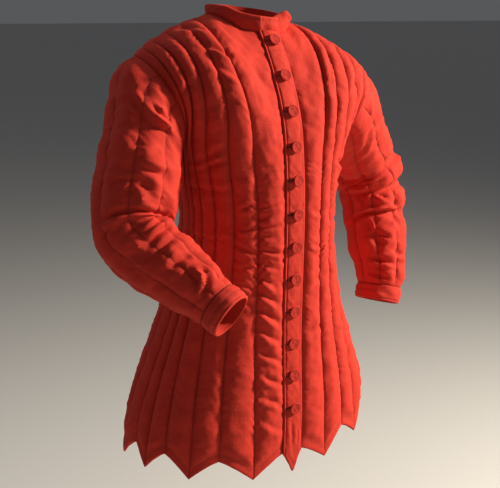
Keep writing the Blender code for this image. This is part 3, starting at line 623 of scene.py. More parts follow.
def make_collar(spots):
    """The standing collar: inner and outer grids over the neckline points."""
    base = np.array([s[0] for s in spots])
    seam = np.array([s[1] for s in spots])
    low = np.array([s[2] for s in spots])
    high = np.array([s[3] for s in spots])
    outward = base * (1, 1, 0) - np.array(NECK_CENTRE + (0.0,))
    outward = unit(outward)
    top = []
    for i, way in enumerate(outward):
        side = "right" if i < len(spots) // 2 else "left"
        turn = math.degrees(math.atan2(way[0] if side == "left" else -way[0], -way[1]))
        if turn < -90:
            turn += 360
        height, lean = smooth(COLLAR_TOP[side], turn)
        top.append((height + math.tan(math.radians(NECK_ROLL)) * base[i, 0], lean))
    top = np.array(top)
    inner = []
    outer = []
    for row, share in enumerate(COLLAR_ROWS):
        mix = min(1.0, share / COLLAR_ROWS[1])
        normals = unit(seam * (1 - mix) + outward * mix)
        points = base.copy()
        points[:, 2] += (top[:, 0] - base[:, 2]) * share
        if row == 0:
            points[:, 2] += 3 * SEAM_INSET
        points += outward * (top[:, 1] * share**2)[:, None]
        inner.append(points + normals * low[:, None])
        outer.append(points + normals * high[:, None])
    return np.array(inner), np.array(outer)


# Finer mesh and finish
FINE_STEP = 0.0029
CHANNEL_FINE = 14
WIDE_FINE = 26
ARM_FINE = 12
INNER_EVERY = 4
LINE_PITCH = 0.0046
STITCH_LENGTH = 0.0032
STITCH_RADIUS = 0.00038
HEM_STITCH = 0.016
CREST = 2.5
EDGE_ROUND = 0.0035
PUCKER_REACH = 0.010
PUCKER = 0.0010
BUTTONHOLE = 0.0175
BAND_TUCK = 0.0012
BUTTON_SHOWN = 0.0115
FOLD_GAIN = 1.25

# Creases of the fronts and back, as seen along Y. Columns: piece, from X Z, over X Z, to X Z,
# depth, width, lip (height of the fold beside it as a share of the depth, and on which side)
BODY_CREASES = (
    ("front_right", -0.138, -0.056, -0.123, -0.063, -0.100, -0.076, 0.0042, 0.0046, -1.0),
    ("front_right", -0.140, -0.083, -0.124, -0.094, -0.096, -0.112, 0.0026, 0.0060, -0.8),
    ("front_right", -0.074, -0.078, -0.057, -0.104, -0.040, -0.138, 0.0022, 0.0110, -0.9),
    ("front_right", -0.161, -0.030, -0.140, -0.025, -0.121, -0.030, 0.0034, 0.0050, -0.7),
    ("front_right", -0.191, -0.134, -0.184, -0.124, -0.178, -0.114, 0.0020, 0.0050, 0.8),
    ("front_right", -0.144, -0.270, -0.133, -0.256, -0.119, -0.246, 0.0044, 0.0050, 1.0),
    ("front_right", -0.142, -0.251, -0.134, -0.233, -0.124, -0.219, 0.0036, 0.0060, 0.8),
    ("front_right", -0.075, -0.334, -0.058, -0.336, -0.032, -0.329, 0.0026, 0.0040, -0.8),
    ("front_right", -0.075, -0.358, -0.065, -0.356, -0.050, -0.350, 0.0022, 0.0036, -0.8),
    ("front_right", -0.075, -0.369, -0.058, -0.373, -0.030, -0.369, 0.0028, 0.0038, -0.9),
    ("front_right", -0.074, -0.392, -0.060, -0.389, -0.040, -0.393, 0.0014, 0.0040, -0.8),
    ("front_right", -0.072, -0.413, -0.056, -0.415, -0.030, -0.423, 0.0030, 0.0040, -0.9),
    ("front_right", -0.071, -0.437, -0.057, -0.442, -0.033, -0.452, 0.0018, 0.0044, -0.8),
    ("front_right", -0.071, -0.463, -0.060, -0.469, -0.039, -0.485, 0.0030, 0.0052, -0.9),
    ("front_right", -0.071, -0.486, -0.058, -0.498, -0.034, -0.516, 0.0044, 0.0060, -0.9),
    ("front_right", -0.072, -0.519, -0.054, -0.535, -0.030, -0.556, 0.0040, 0.0062, -0.9),
    ("front_right", -0.072, -0.556, -0.054, -0.574, -0.028, -0.590, 0.0034, 0.0060, -0.8),
    ("front_right", -0.073, -0.601, -0.053, -0.614, -0.028, -0.628, 0.0034, 0.0060, -0.8),
    ("front_right", -0.076, -0.640, -0.056, -0.656, -0.029, -0.668, 0.0030, 0.0060, -0.8),
    ("front_right", -0.080, -0.685, -0.059, -0.694, -0.030, -0.710, 0.0032, 0.0060, -0.8),
    ("front_right", -0.079, -0.728, -0.057, -0.744, -0.030, -0.758, 0.0022, 0.0060, -0.8),
    ("front_right", -0.098, -0.339, -0.089, -0.335, -0.078, -0.331, 0.0030, 0.0036, -0.9),
    ("front_right", -0.098, -0.372, -0.088, -0.377, -0.076, -0.371, 0.0030, 0.0036, -0.9),
    ("front_right", -0.102, -0.403, -0.091, -0.412, -0.075, -0.421, 0.0034, 0.0040, -0.9),
    ("front_right", -0.096, -0.448, -0.086, -0.445, -0.075, -0.451, 0.0022, 0.0036, -0.9),
    ("front_right", -0.101, -0.473, -0.089, -0.480, -0.075, -0.488, 0.0024, 0.0040, -0.9),
    ("front_right", -0.099, -0.505, -0.090, -0.512, -0.077, -0.518, 0.0018, 0.0044, -0.8),
    ("front_right", -0.150, -0.300, -0.130, -0.305, -0.104, -0.300, 0.0020, 0.0060, 0.7),
    ("front_right", -0.146, -0.392, -0.128, -0.398, -0.106, -0.392, 0.0018, 0.0055, 0.7),
    ("front_left", 0.150, -0.290, 0.130, -0.272, 0.102, -0.262, 0.0040, 0.0055, 0.9),
    ("front_left", 0.152, -0.312, 0.128, -0.306, 0.100, -0.312, 0.0024, 0.0055, 0.8),
    ("front_left", 0.190, -0.120, 0.165, -0.128, 0.140, -0.150, 0.0024, 0.0065, 0.7),
    ("front_left", 0.135, -0.385, 0.112, -0.378, 0.086, -0.384, 0.0022, 0.0050, 0.8),
    ("front_left", 0.120, -0.070, 0.104, -0.100, 0.092, -0.140, 0.0020, 0.0060, 0.6),
    ("front_left", 0.070, -0.350, 0.052, -0.356, 0.032, -0.350, 0.0018, 0.0045, 0.8),
    ("front_left", 0.074, -0.410, 0.054, -0.417, 0.032, -0.412, 0.0020, 0.0045, 0.8),
    ("front_left", 0.078, -0.470, 0.056, -0.482, 0.034, -0.494, 0.0022, 0.0055, 0.8),
    ("front_left", 0.082, -0.560, 0.060, -0.576, 0.036, -0.590, 0.0020, 0.0060, 0.8),
    ("back", -0.150, -0.290, -0.125, -0.272, -0.095, -0.262, 0.0038, 0.0060, 0.9),
    ("back", 0.152, -0.300, 0.126, -0.284, 0.094, -0.276, 0.0038, 0.0060, 0.9),
    ("back", -0.110, -0.372, -0.060, -0.380, -0.012, -0.374, 0.0026, 0.0055, 0.8),
    ("back", 0.112, -0.392, 0.070, -0.384, 0.026, -0.390, 0.0024, 0.0055, 0.8),
    ("back", -0.090, -0.418, -0.040, -0.424, 0.014, -0.420, 0.0022, 0.0055, 0.8),
    ("back", 0.070, -0.350, 0.030, -0.344, -0.010, -0.350, 0.0020, 0.0055, 0.8),
    ("back", -0.190, -0.110, -0.165, -0.130, -0.135, -0.160, 0.0026, 0.0065, 0.8),
    ("back", 0.205, -0.130, 0.175, -0.145, 0.140, -0.172, 0.0026, 0.0065, 0.8),
)
# Creases of the sleeves. Columns: way along and angle of three spots, depth, width, lip
ARM_CREASES = {
    "right": (
        (0.060, 20.0, 0.070, 39.0, 0.077, 55.0, 0.0050, 0.0070, 1.0),
        (0.076, 54.0, 0.076, 76.0, 0.070, 99.0, 0.0056, 0.0062, 1.0),
        (0.053, 60.0, 0.056, 74.0, 0.047, 90.0, 0.0036, 0.0042, 1.0),
        (0.060, 70.0, 0.052, 80.0, 0.034, 92.0, 0.0026, 0.0040, 0.8),
        (0.035, -4.0, 0.051, 26.0, 0.064, 40.0, 0.0026, 0.0080, 0.5),
        (0.133, 53.0, 0.124, 65.0, 0.110, 81.0, 0.0034, 0.0050, 0.9),
        (0.143, 50.0, 0.149, 68.0, 0.148, 90.0, 0.0026, 0.0060, 0.9),
        (0.158, 54.0, 0.180, 66.0, 0.206, 76.0, 0.0046, 0.0090, 0.7),
        (0.184, 42.0, 0.203, 53.0, 0.222, 51.0, 0.0030, 0.0052, 0.9),
        (0.178, 18.0, 0.171, 37.0, 0.171, 55.0, 0.0022, 0.0060, 0.7),
        (0.236, -14.0, 0.228, 45.0, 0.240, 110.0, 0.0056, 0.0052, -1.0),
        (0.255, -8.0, 0.245, 11.0, 0.235, 23.0, 0.0036, 0.0070, 0.8),
        (0.262, 8.0, 0.256, 24.0, 0.246, 40.0, 0.0026, 0.0056, 0.8),
        (0.292, 50.0, 0.289, 68.0, 0.275, 95.0, 0.0038, 0.0052, 0.9),
        (0.313, 44.0, 0.309, 72.0, 0.305, 102.0, 0.0052, 0.0060, 1.0),
        (0.340, 32.0, 0.338, 60.0, 0.338, 90.0, 0.0050, 0.0062, 1.0),
        (0.354, 67.0, 0.371, 72.0, 0.395, 71.0, 0.0026, 0.0056, 0.7),
        (0.354, 22.0, 0.375, 19.0, 0.400, 17.0, 0.0022, 0.0050, 0.7),
        (0.374, 28.0, 0.376, 55.0, 0.383, 82.0, 0.0046, 0.0062, 1.0),
        (0.398, 50.0, 0.421, 41.0, 0.438, 30.0, 0.0048, 0.0066, 0.9),
        (0.409, 70.0, 0.432, 62.0, 0.450, 20.0, 0.0044, 0.0055, -0.9),
        (0.436, 75.0, 0.446, 92.0, 0.448, 112.0, 0.0032, 0.0048, 0.8),
        (0.296, -10.0, 0.321, -6.0, 0.356, -10.0, 0.0020, 0.0060, 0.7),
        (0.285, 28.0, 0.304, 19.0, 0.325, 17.0, 0.0024, 0.0052, 0.7),
        (0.105, -30.0, 0.118, -4.0, 0.122, 30.0, 0.0022, 0.0060, 0.7),
        (0.226, 130.0, 0.240, 165.0, 0.236, 205.0, 0.0044, 0.0052, 0.9),
        (0.260, 140.0, 0.268, 172.0, 0.262, 206.0, 0.0036, 0.0050, 0.9),
        (0.214, 206.0, 0.232, 240.0, 0.246, 276.0, 0.0026, 0.0055, 0.8),
        (0.288, 214.0, 0.276, 250.0, 0.262, 286.0, 0.0026, 0.0055, 0.8),
        (0.070, 216.0, 0.080, 250.0, 0.072, 292.0, 0.0030, 0.0060, 0.8),
        (0.300, 130.0, 0.312, 166.0, 0.304, 204.0, 0.0030, 0.0055, 0.8),
        (0.350, 176.0, 0.358, 216.0, 0.350, 258.0, 0.0026, 0.0050, 0.8),
        (0.412, 190.0, 0.420, 232.0, 0.414, 276.0, 0.0028, 0.0050, 0.8),
        (0.140, 190.0, 0.150, 226.0, 0.142, 262.0, 0.0022, 0.0060, 0.8),
    ),
    "left": (
        (0.235, 195.0, 0.188, 138.0, 0.172, 80.0, 0.0064, 0.0056, -1.0),
        (0.216, 190.0, 0.204, 150.0, 0.205, 104.0, 0.0030, 0.0045, 0.8),
        (0.340, 200.0, 0.304, 150.0, 0.306, 71.0, 0.0058, 0.0054, -1.0),
        (0.253, 156.0, 0.268, 153.0, 0.285, 148.0, 0.0036, 0.0050, 0.9),
        (0.256, 128.0, 0.263, 117.0, 0.279, 104.0, 0.0036, 0.0046, 0.9),
        (0.272, 108.0, 0.294, 84.0, 0.315, 63.0, 0.0026, 0.0050, 0.9),
        (0.315, 100.0, 0.330, 86.0, 0.351, 79.0, 0.0032, 0.0052, 0.9),
        (0.316, 158.0, 0.336, 147.0, 0.351, 144.0, 0.0030, 0.0048, -0.9),
        (0.348, 148.0, 0.366, 132.0, 0.380, 121.0, 0.0052, 0.0090, 0.7),
        (0.350, 144.0, 0.356, 124.0, 0.366, 105.0, 0.0034, 0.0048, 0.9),
        (0.402, 164.0, 0.410, 132.0, 0.418, 98.0, 0.0046, 0.0052, 1.0),
        (0.386, 110.0, 0.396, 84.0, 0.398, 58.0, 0.0034, 0.0056, 0.9),
        (0.442, 166.0, 0.444, 137.0, 0.451, 112.0, 0.0036, 0.0046, 0.9),
        (0.100, 140.0, 0.081, 119.0, 0.046, 103.0, 0.0034, 0.0066, 0.8),
        (0.124, 142.0, 0.143, 137.0, 0.174, 136.0, 0.0030, 0.0046, 0.8),
        (0.128, 90.0, 0.142, 72.0, 0.150, 50.0, 0.0026, 0.0056, 0.8),
        (0.060, 96.0, 0.074, 60.0, 0.070, 20.0, 0.0030, 0.0060, 0.8),
        (0.190, 58.0, 0.206, 20.0, 0.214, -20.0, 0.0034, 0.0056, 0.9),
        (0.248, 60.0, 0.262, 20.0, 0.256, -20.0, 0.0030, 0.0056, 0.9),
        (0.300, 40.0, 0.312, 0.0, 0.306, -40.0, 0.0028, 0.0055, 0.8),
        (0.250, 230.0, 0.240, 270.0, 0.246, 312.0, 0.0028, 0.0055, 0.8),
        (0.180, 226.0, 0.172, 262.0, 0.178, 300.0, 0.0026, 0.0055, 0.8),
        (0.070, 214.0, 0.080, 250.0, 0.074, 292.0, 0.0030, 0.0060, 0.8),
        (0.310, 226.0, 0.302, 268.0, 0.310, 306.0, 0.0026, 0.0055, 0.8),
        (0.380, 226.0, 0.372, 268.0, 0.380, 310.0, 0.0026, 0.0050, 0.8),
    ),
}
# Where puckers beside a stitched line are deeper. Columns: piece, X, from Z, to Z, reach, gain
PUCKER_SPOTS = (
    ("front_right", -0.078, -0.50, -0.30, 0.040, 1.6),
    ("front_right", -0.040, -0.78, -0.50, 0.030, 1.0),
    ("front_right", -0.150, -0.46, -0.30, 0.040, 0.3),
    ("front_left", 0.080, -0.48, -0.30, 0.040, 0.8),
    ("front_left", 0.150, -0.46, -0.28, 0.050, 0.3),
    ("back", 0.0, -0.48, -0.30, 0.150, 0.9),
)


def resample(values, at, axis, corners=(), closed=False):
    """A grid's values between its rows or columns, on a smooth curve that keeps corners."""
    v = np.moveaxis(np.asarray(values, float), axis, 0)
    if closed:
        ahead = np.roll(v, -1, 0) - v
        behind = np.roll(ahead, 1, 0)
    else:
        step = v[1:] - v[:-1]
        ahead = np.concatenate((step, step[-1:]))
        behind = np.concatenate((step[:1], step))
    leave = (ahead + behind) / 2
    arrive = leave.copy()
    for corner in corners:
        leave[corner] = ahead[corner]
        arrive[corner] = behind[corner]
    at = np.asarray(at, float)
    i = np.floor(at).astype(int)
    if not closed:
        i = np.minimum(i, len(v) - 2)
    t = (at - i).reshape((-1,) + (1,) * (v.ndim - 1))
    i = i % len(v)
    j = (i + 1) % len(v)
    out = (
        (2 * t**3 - 3 * t**2 + 1) * v[i] + (t**3 - 2 * t**2 + t) * leave[i]
        + (3 * t**2 - 2 * t**3) * v[j] + (t**3 - t**2) * arrive[j]
    )
    return np.moveaxis(out, 0, axis)


def straight(values, at, axis, closed=False):
    """A grid's values between its rows or columns, on straight lines."""
    v = np.moveaxis(np.asarray(values, float), axis, 0)
    at = np.asarray(at, float)
    i = np.floor(at).astype(int)
    if not closed:
        i = np.minimum(i, len(v) - 2)
    t = (at - i).reshape((-1,) + (1,) * (v.ndim - 1))
    i = i % len(v)
    return np.moveaxis(v[i] * (1 - t) + v[(i + 1) % len(v)] * t, 0, axis)


def bunched(count):
    """Shares from 0 up to 1, closer together at both ends; the last one is left out."""
    return (1 - np.cos(np.pi * np.arange(count) / count)) / 2


def channel_places(steps, per, wide=None, closed=False):
    """Fine columns: position among the coarse columns, share across its channel, channel."""
    at, share, channel = [], [], []
    for number, count in enumerate(steps):
        shares = bunched(wide if wide and count > 4 else per)
        at.extend(sum(steps[:number]) + shares * count)
        share.extend(shares)
        channel.extend([number] * len(shares))
    if not closed:
        at.append(float(sum(steps)))
        share.append(1.0)
        channel.append(len(steps) - 1)
    return np.array(at), np.array(share), np.array(channel)


def row_places(grid, step, dense=()):
    """Fine rows about one step apart; those listed as dense get rows close to their start."""
    lengths = np.linalg.norm(np.diff(grid[:, ::3], axis=0), axis=2).mean(axis=1)
    at = []
    for i, length in enumerate(lengths):
        count = max(1, round(length / step))
        places = np.arange(count) / count
        if i in dense:
            near = np.array((0.0004, 0.0010, 0.0018)) / length
            places = np.sort(np.concatenate((places, near)))
        at.extend(i + places)
    return np.array(at + [len(grid) - 1.0])


def along(grid, axis, closed=False):
    """Distance travelled along the rows (axis 0) or columns (axis 1) of a grid of points."""
    steps = np.linalg.norm(np.diff(grid, axis=axis), axis=2)
    first = np.zeros_like(steps[:1]) if axis == 0 else np.zeros_like(steps[:, :1])
    return np.cumsum(np.concatenate((first, steps), axis=axis), axis=axis)


def waves(points, size, seed, count=14, stretch=(1.0, 1.0, 1.0)):
    """Smooth pseudo-random heights of about -1 to 1 at 3-D points, features about one size."""
    pick = np.random.RandomState(seed)
    total = np.zeros(points.shape[:-1])
    for _ in range(count):
        way = unit(pick.normal(size=3)) * np.array(stretch)
        total += np.sin(points @ way * (2 * np.pi / (size * pick.uniform(0.7, 1.6))) + pick.uniform(0, 7))
    return total / math.sqrt(count)


def crumples(points, size, seed, stretch=(1.0, 1.0, 1.0)):
    """Sharp little ridges with soft hollows between them, about -1 to 1."""
    return 1.2 - 2.4 * np.sqrt(waves(points, size, seed, stretch=stretch) ** 2 + 0.02)


def crease(points, spots, depth, width, lip):
    """Heights of a hollow along a line of spots with a fold beside it, at 2-D points."""
    spots = np.array(spots)
    finer = resample(spots, np.linspace(0, len(spots) - 1, 9), 0)
    lengths = np.linalg.norm(np.diff(finer, axis=0), axis=1)
    total = lengths.sum()
    best = np.full(points.shape[:-1], 1e9)
    side = np.zeros_like(best)
    place = np.zeros_like(best)
    done = 0.0
    for a, b, length in zip(finer, finer[1:], lengths):
        way = (b - a) / length
        rel = points - a
        t = np.clip(rel @ way, 0.0, length)
        off = rel - t[..., None] * way
        far = np.linalg.norm(off, axis=-1)
        nearer = far < best
        best = np.where(nearer, far, best)
        side = np.where(nearer, np.sign(way[0] * off[..., 1] - way[1] * off[..., 0]), side)
        place = np.where(nearer, (done + t) / total, place)
        done += length
    taper = np.sin(np.pi * np.clip(place, 0.0, 1.0)) ** 0.7
    across = side * best * math.copysign(1.0, lip)
    fold = np.exp(-(((across - 1.7 * width) / (1.0 * width)) ** 2))
    far_fold = np.exp(-(((across + 2.3 * width) / (1.3 * width)) ** 2))
    hollow = np.exp(-((best / (0.85 * width)) ** 1.5))
    return depth * taper * (abs(lip) * fold + 0.35 * abs(lip) * far_fold - hollow)


def line_distance(grid, share, closed=False):
    """Distance of each fine column from the nearer line of its channel, in metres."""
    wrapped = np.concatenate((grid, grid[:, :1]), axis=1) if closed else grid
    travelled = along(wrapped, 1)
    starts = [i for i, s in enumerate(share) if s < 1e-9]
    ends = starts[1:] + [travelled.shape[1] - 1]
    out = np.zeros(grid.shape[:2])
    for a, b in zip(starts, ends):
        stop = min(b + 1, grid.shape[1])
        left = travelled[:, a:stop] - travelled[:, a:a + 1]
        right = travelled[:, b:b + 1] - travelled[:, a:stop]
        out[:, a:stop] = np.minimum(left, right)
    return out


def puckers(travelled, distance, channel, seed):
    """Small ripples across the cloth beside each stitched line."""
    out = np.zeros_like(distance)
    near = np.exp(-distance / PUCKER_REACH) * (1 - np.exp(-distance / 0.0016))
    for number in np.unique(channel):
        pick = np.random.RandomState(seed + int(number))
        columns = channel == number
        v = travelled[:, columns]
        ripple = np.zeros_like(v)
        for _ in range(5):
            length = pick.uniform(0.007, 0.021)
            drift = pick.uniform(-0.6, 0.6)
            phase = pick.uniform(0, 7)
            ripple += np.sin(2 * np.pi * (v + drift * distance[:, columns]) / length + phase)
        swell = 0.65 + 0.5 * np.sin(v * pick.uniform(25, 50) + pick.uniform(0, 7))
        out[:, columns] = ripple / 2.2 * np.maximum(swell, 0.15) * near[:, columns]
    return out * PUCKER


def rounded(distance, radius=EDGE_ROUND):
    """Share of the wall left at this distance from a free edge: nearly none at the edge."""
    inside = np.clip(1 - distance / radius, 0.0, 1.0)
    return 0.28 + 0.72 * np.sqrt(1 - inside**2)


class Skin:
    """Collects the corners, faces, cloth coordinates and shading of one piece."""

    def __init__(self):
        self.points = []
        self.faces = []
        self.uvs = []
        self.shade = []
        self.count = 0

    def add(self, points, uv=None, shade=None):
        points = np.asarray(points, float)
        size = len(points)
        self.points.append(points)
        self.uvs.append(np.zeros((size, 2)) if uv is None else np.asarray(uv, float))
        self.shade.append(np.zeros(size) if shade is None else np.asarray(shade, float))
        first = self.count
        self.count += size
        return np.arange(first, self.count)

    def grid(self, points, uv, shade, closed=False):
        """Adds a grid of corners with its faces, and gives the corners' numbers."""
        rows, count = points.shape[:2]
        ids = self.add(points.reshape(-1, 3), uv.reshape(-1, 2), shade.reshape(-1))
        ids = ids.reshape(rows, count)
        loop = np.concatenate((ids, ids[:, :1]), axis=1) if closed else ids
        quads = np.stack((loop[:-1, :-1], loop[:-1, 1:], loop[1:, 1:], loop[1:, :-1]), axis=-1)
        self.faces.extend(quads.reshape(-1, 4).tolist())
        return ids

    def strip(self, a, b, at_a, at_b):
        """Joins two rows of corners with triangles, each placed by its share along."""
        i = j = 0
        while i < len(a) - 1 or j < len(b) - 1:
            if j == len(b) - 1 or (i < len(a) - 1 and at_a[i + 1] <= at_b[j + 1]):
                self.faces.append([a[i], a[i + 1], b[j]])
                i += 1
            else:
                self.faces.append([a[i], b[j + 1], b[j]])
                j += 1

    def make(self, name, look, sharp=50.0):
        """The finished piece."""
        mesh = bpy.data.meshes.new(name)
        points = np.concatenate(self.points)
        faces = [[int(i) for i in f] for f in self.faces if len(set(f)) == len(f)]
        mesh.from_pydata(points.tolist(), [], faces)
        mesh.validate()
        uv = np.concatenate(self.uvs)
        corners = np.zeros(len(mesh.loops), int)
        mesh.loops.foreach_get("vertex_index", corners)
        layer = mesh.uv_layers.new(name="UVMap")
        layer.data.foreach_set("uv", uv[corners].ravel())
        shade = mesh.attributes.new("shade", "FLOAT", "POINT")
        shade.data.foreach_set("value", np.concatenate(self.shade))
        mesh.materials.append(look)
        mesh.shade_smooth()
        mesh.set_sharp_from_angle(angle=math.radians(sharp))
        thing = bpy.data.objects.new(name, mesh)
        bpy.context.scene.collection.objects.link(thing)
        return thing


def face_out(thing):
    """Turns a closed piece's faces outwards."""
    shape = bmesh.new()
    shape.from_mesh(thing.data)
    bmesh.ops.recalc_face_normals(shape, faces=shape.faces)
    shape.to_mesh(thing.data)
    shape.free()
    return thing


def sheet_piece(name, inner, outer, shade, look):
    """A piece between an inner and an outer grid with four edges."""
    skin = Skin()
    rows, count = outer.shape[:2]
    u = along(outer, 1)
    u = u - u.mean(axis=1, keepdims=True) + u.mean()
    v = along(outer, 0)
    uv = np.stack((u, v), axis=-1)
    out_ids = skin.grid(outer, uv, shade)
    pick_r = sorted(set(range(0, rows, INNER_EVERY)) | {rows - 1})
    pick_c = sorted(set(range(0, count, INNER_EVERY)) | {count - 1})
    choose = np.ix_(pick_r, pick_c)
    # Painted shade: the inner face gets a shade of 0.35, so it is darker than the outer cloth
    in_ids = skin.grid(inner[choose], uv[choose], np.full(inner[choose].shape[:2], 0.35))
    c_out, c_in = np.arange(count) / (count - 1), np.array(pick_c) / (count - 1)
    r_out, r_in = np.arange(rows) / (rows - 1), np.array(pick_r) / (rows - 1)
    skin.strip(out_ids[0], in_ids[0], c_out, c_in)
    skin.strip(out_ids[-1], in_ids[-1], c_out, c_in)
    skin.strip(out_ids[:, 0], in_ids[:, 0], r_out, r_in)
    skin.strip(out_ids[:, -1], in_ids[:, -1], r_out, r_in)
    return face_out(skin.make("cloth_" + name, look))


def tube_piece(name, inner, outer, shade, look):
    """A piece between an inner and an outer set of rings."""
    skin = Skin()
    rows, count = outer.shape[:2]
    wrapped = np.concatenate((outer, outer[:, :1]), axis=1)
    u = along(wrapped, 1)[:, :-1].mean(axis=0)[None, :].repeat(rows, axis=0)
    v = along(outer, 0).mean(axis=1)[:, None].repeat(count, axis=1)
    uv = np.stack((u, v), axis=-1)
    out_ids = skin.grid(outer, uv, shade, closed=True)
    pick_r = sorted(set(range(0, rows, INNER_EVERY)) | {rows - 1})
    choose = np.ix_(pick_r, range(0, count, INNER_EVERY))
    # Painted shade: the inner face gets a shade of 0.35, so it is darker than the outer cloth
    in_ids = skin.grid(inner[choose], uv[choose], np.full(inner[choose].shape[:2], 0.35), closed=True)
    full = np.arange(count + 1) / count
    part = np.append(np.arange(0, count, INNER_EVERY), count) / count
    for end in (0, -1):
        a, b = out_ids[end], in_ids[end]
        skin.strip(np.append(a, a[0]), np.append(b, b[0]), full, part)
    return face_out(skin.make("cloth_" + name, look))


def grains(skin, middles, ways, normals, length, radius, shade=0.5):
    """Adds stitches: small closed grains of thread, their ends dipping into the cloth."""
    middles, ways, normals = (np.asarray(a, float) for a in (middles, ways, normals))
    if not len(middles):
        return
    ways = unit(ways)
    normals = unit(normals - ways * (normals * ways).sum(axis=1, keepdims=True))
    sides = np.cross(ways, normals)
    half = length / 2
    parts = [middles - ways * half - normals * radius * 1.6]
    for step in (-0.5, 0.5):
        for lift, out in ((1, 0), (0, 1), (-1, 0), (0, -1)):
            parts.append(middles + ways * half * step + normals * radius * (lift + 0.3) + sides * radius * out)
    parts.append(middles + ways * half - normals * radius * 1.6)
    block = np.stack(parts, axis=1)
    ids = skin.add(block.reshape(-1, 3), shade=np.full(block.shape[0] * 10, shade)).reshape(-1, 10)
    for k in range(4):
        n = (k + 1) % 4
        for f in ((0, 1 + n, 1 + k), (9, 5 + k, 5 + n)):
            skin.faces.extend(ids[:, f].tolist())
        skin.faces.extend(ids[:, (1 + k, 1 + n, 5 + n, 5 + k)].tolist())


def stitch_line(skin, line, normals, pitch=LINE_PITCH, length=STITCH_LENGTH, radius=STITCH_RADIUS):
    """Running stitches along a line of points on the cloth."""
    line, normals = np.asarray(line, float), np.asarray(normals, float)
    way = np.concatenate(([0.0], np.cumsum(np.linalg.norm(np.diff(line, axis=0), axis=1))))
    if way[-1] < pitch:
        return
    at = np.arange(pitch / 2, way[-1], pitch)

    def spot(table, places):
        return np.stack([np.interp(places, way, table[:, i]) for i in range(3)], axis=1)

    ahead = spot(line, np.minimum(at + length / 2, way[-1])) - spot(line, at - length / 2)
    grains(skin, spot(line, at), ahead, spot(normals, at), length, radius)


def threads_of(name, look, skin):
    """The stitches of one piece as an object."""
    thing = skin.make(name, look, sharp=180.0)
    return thing


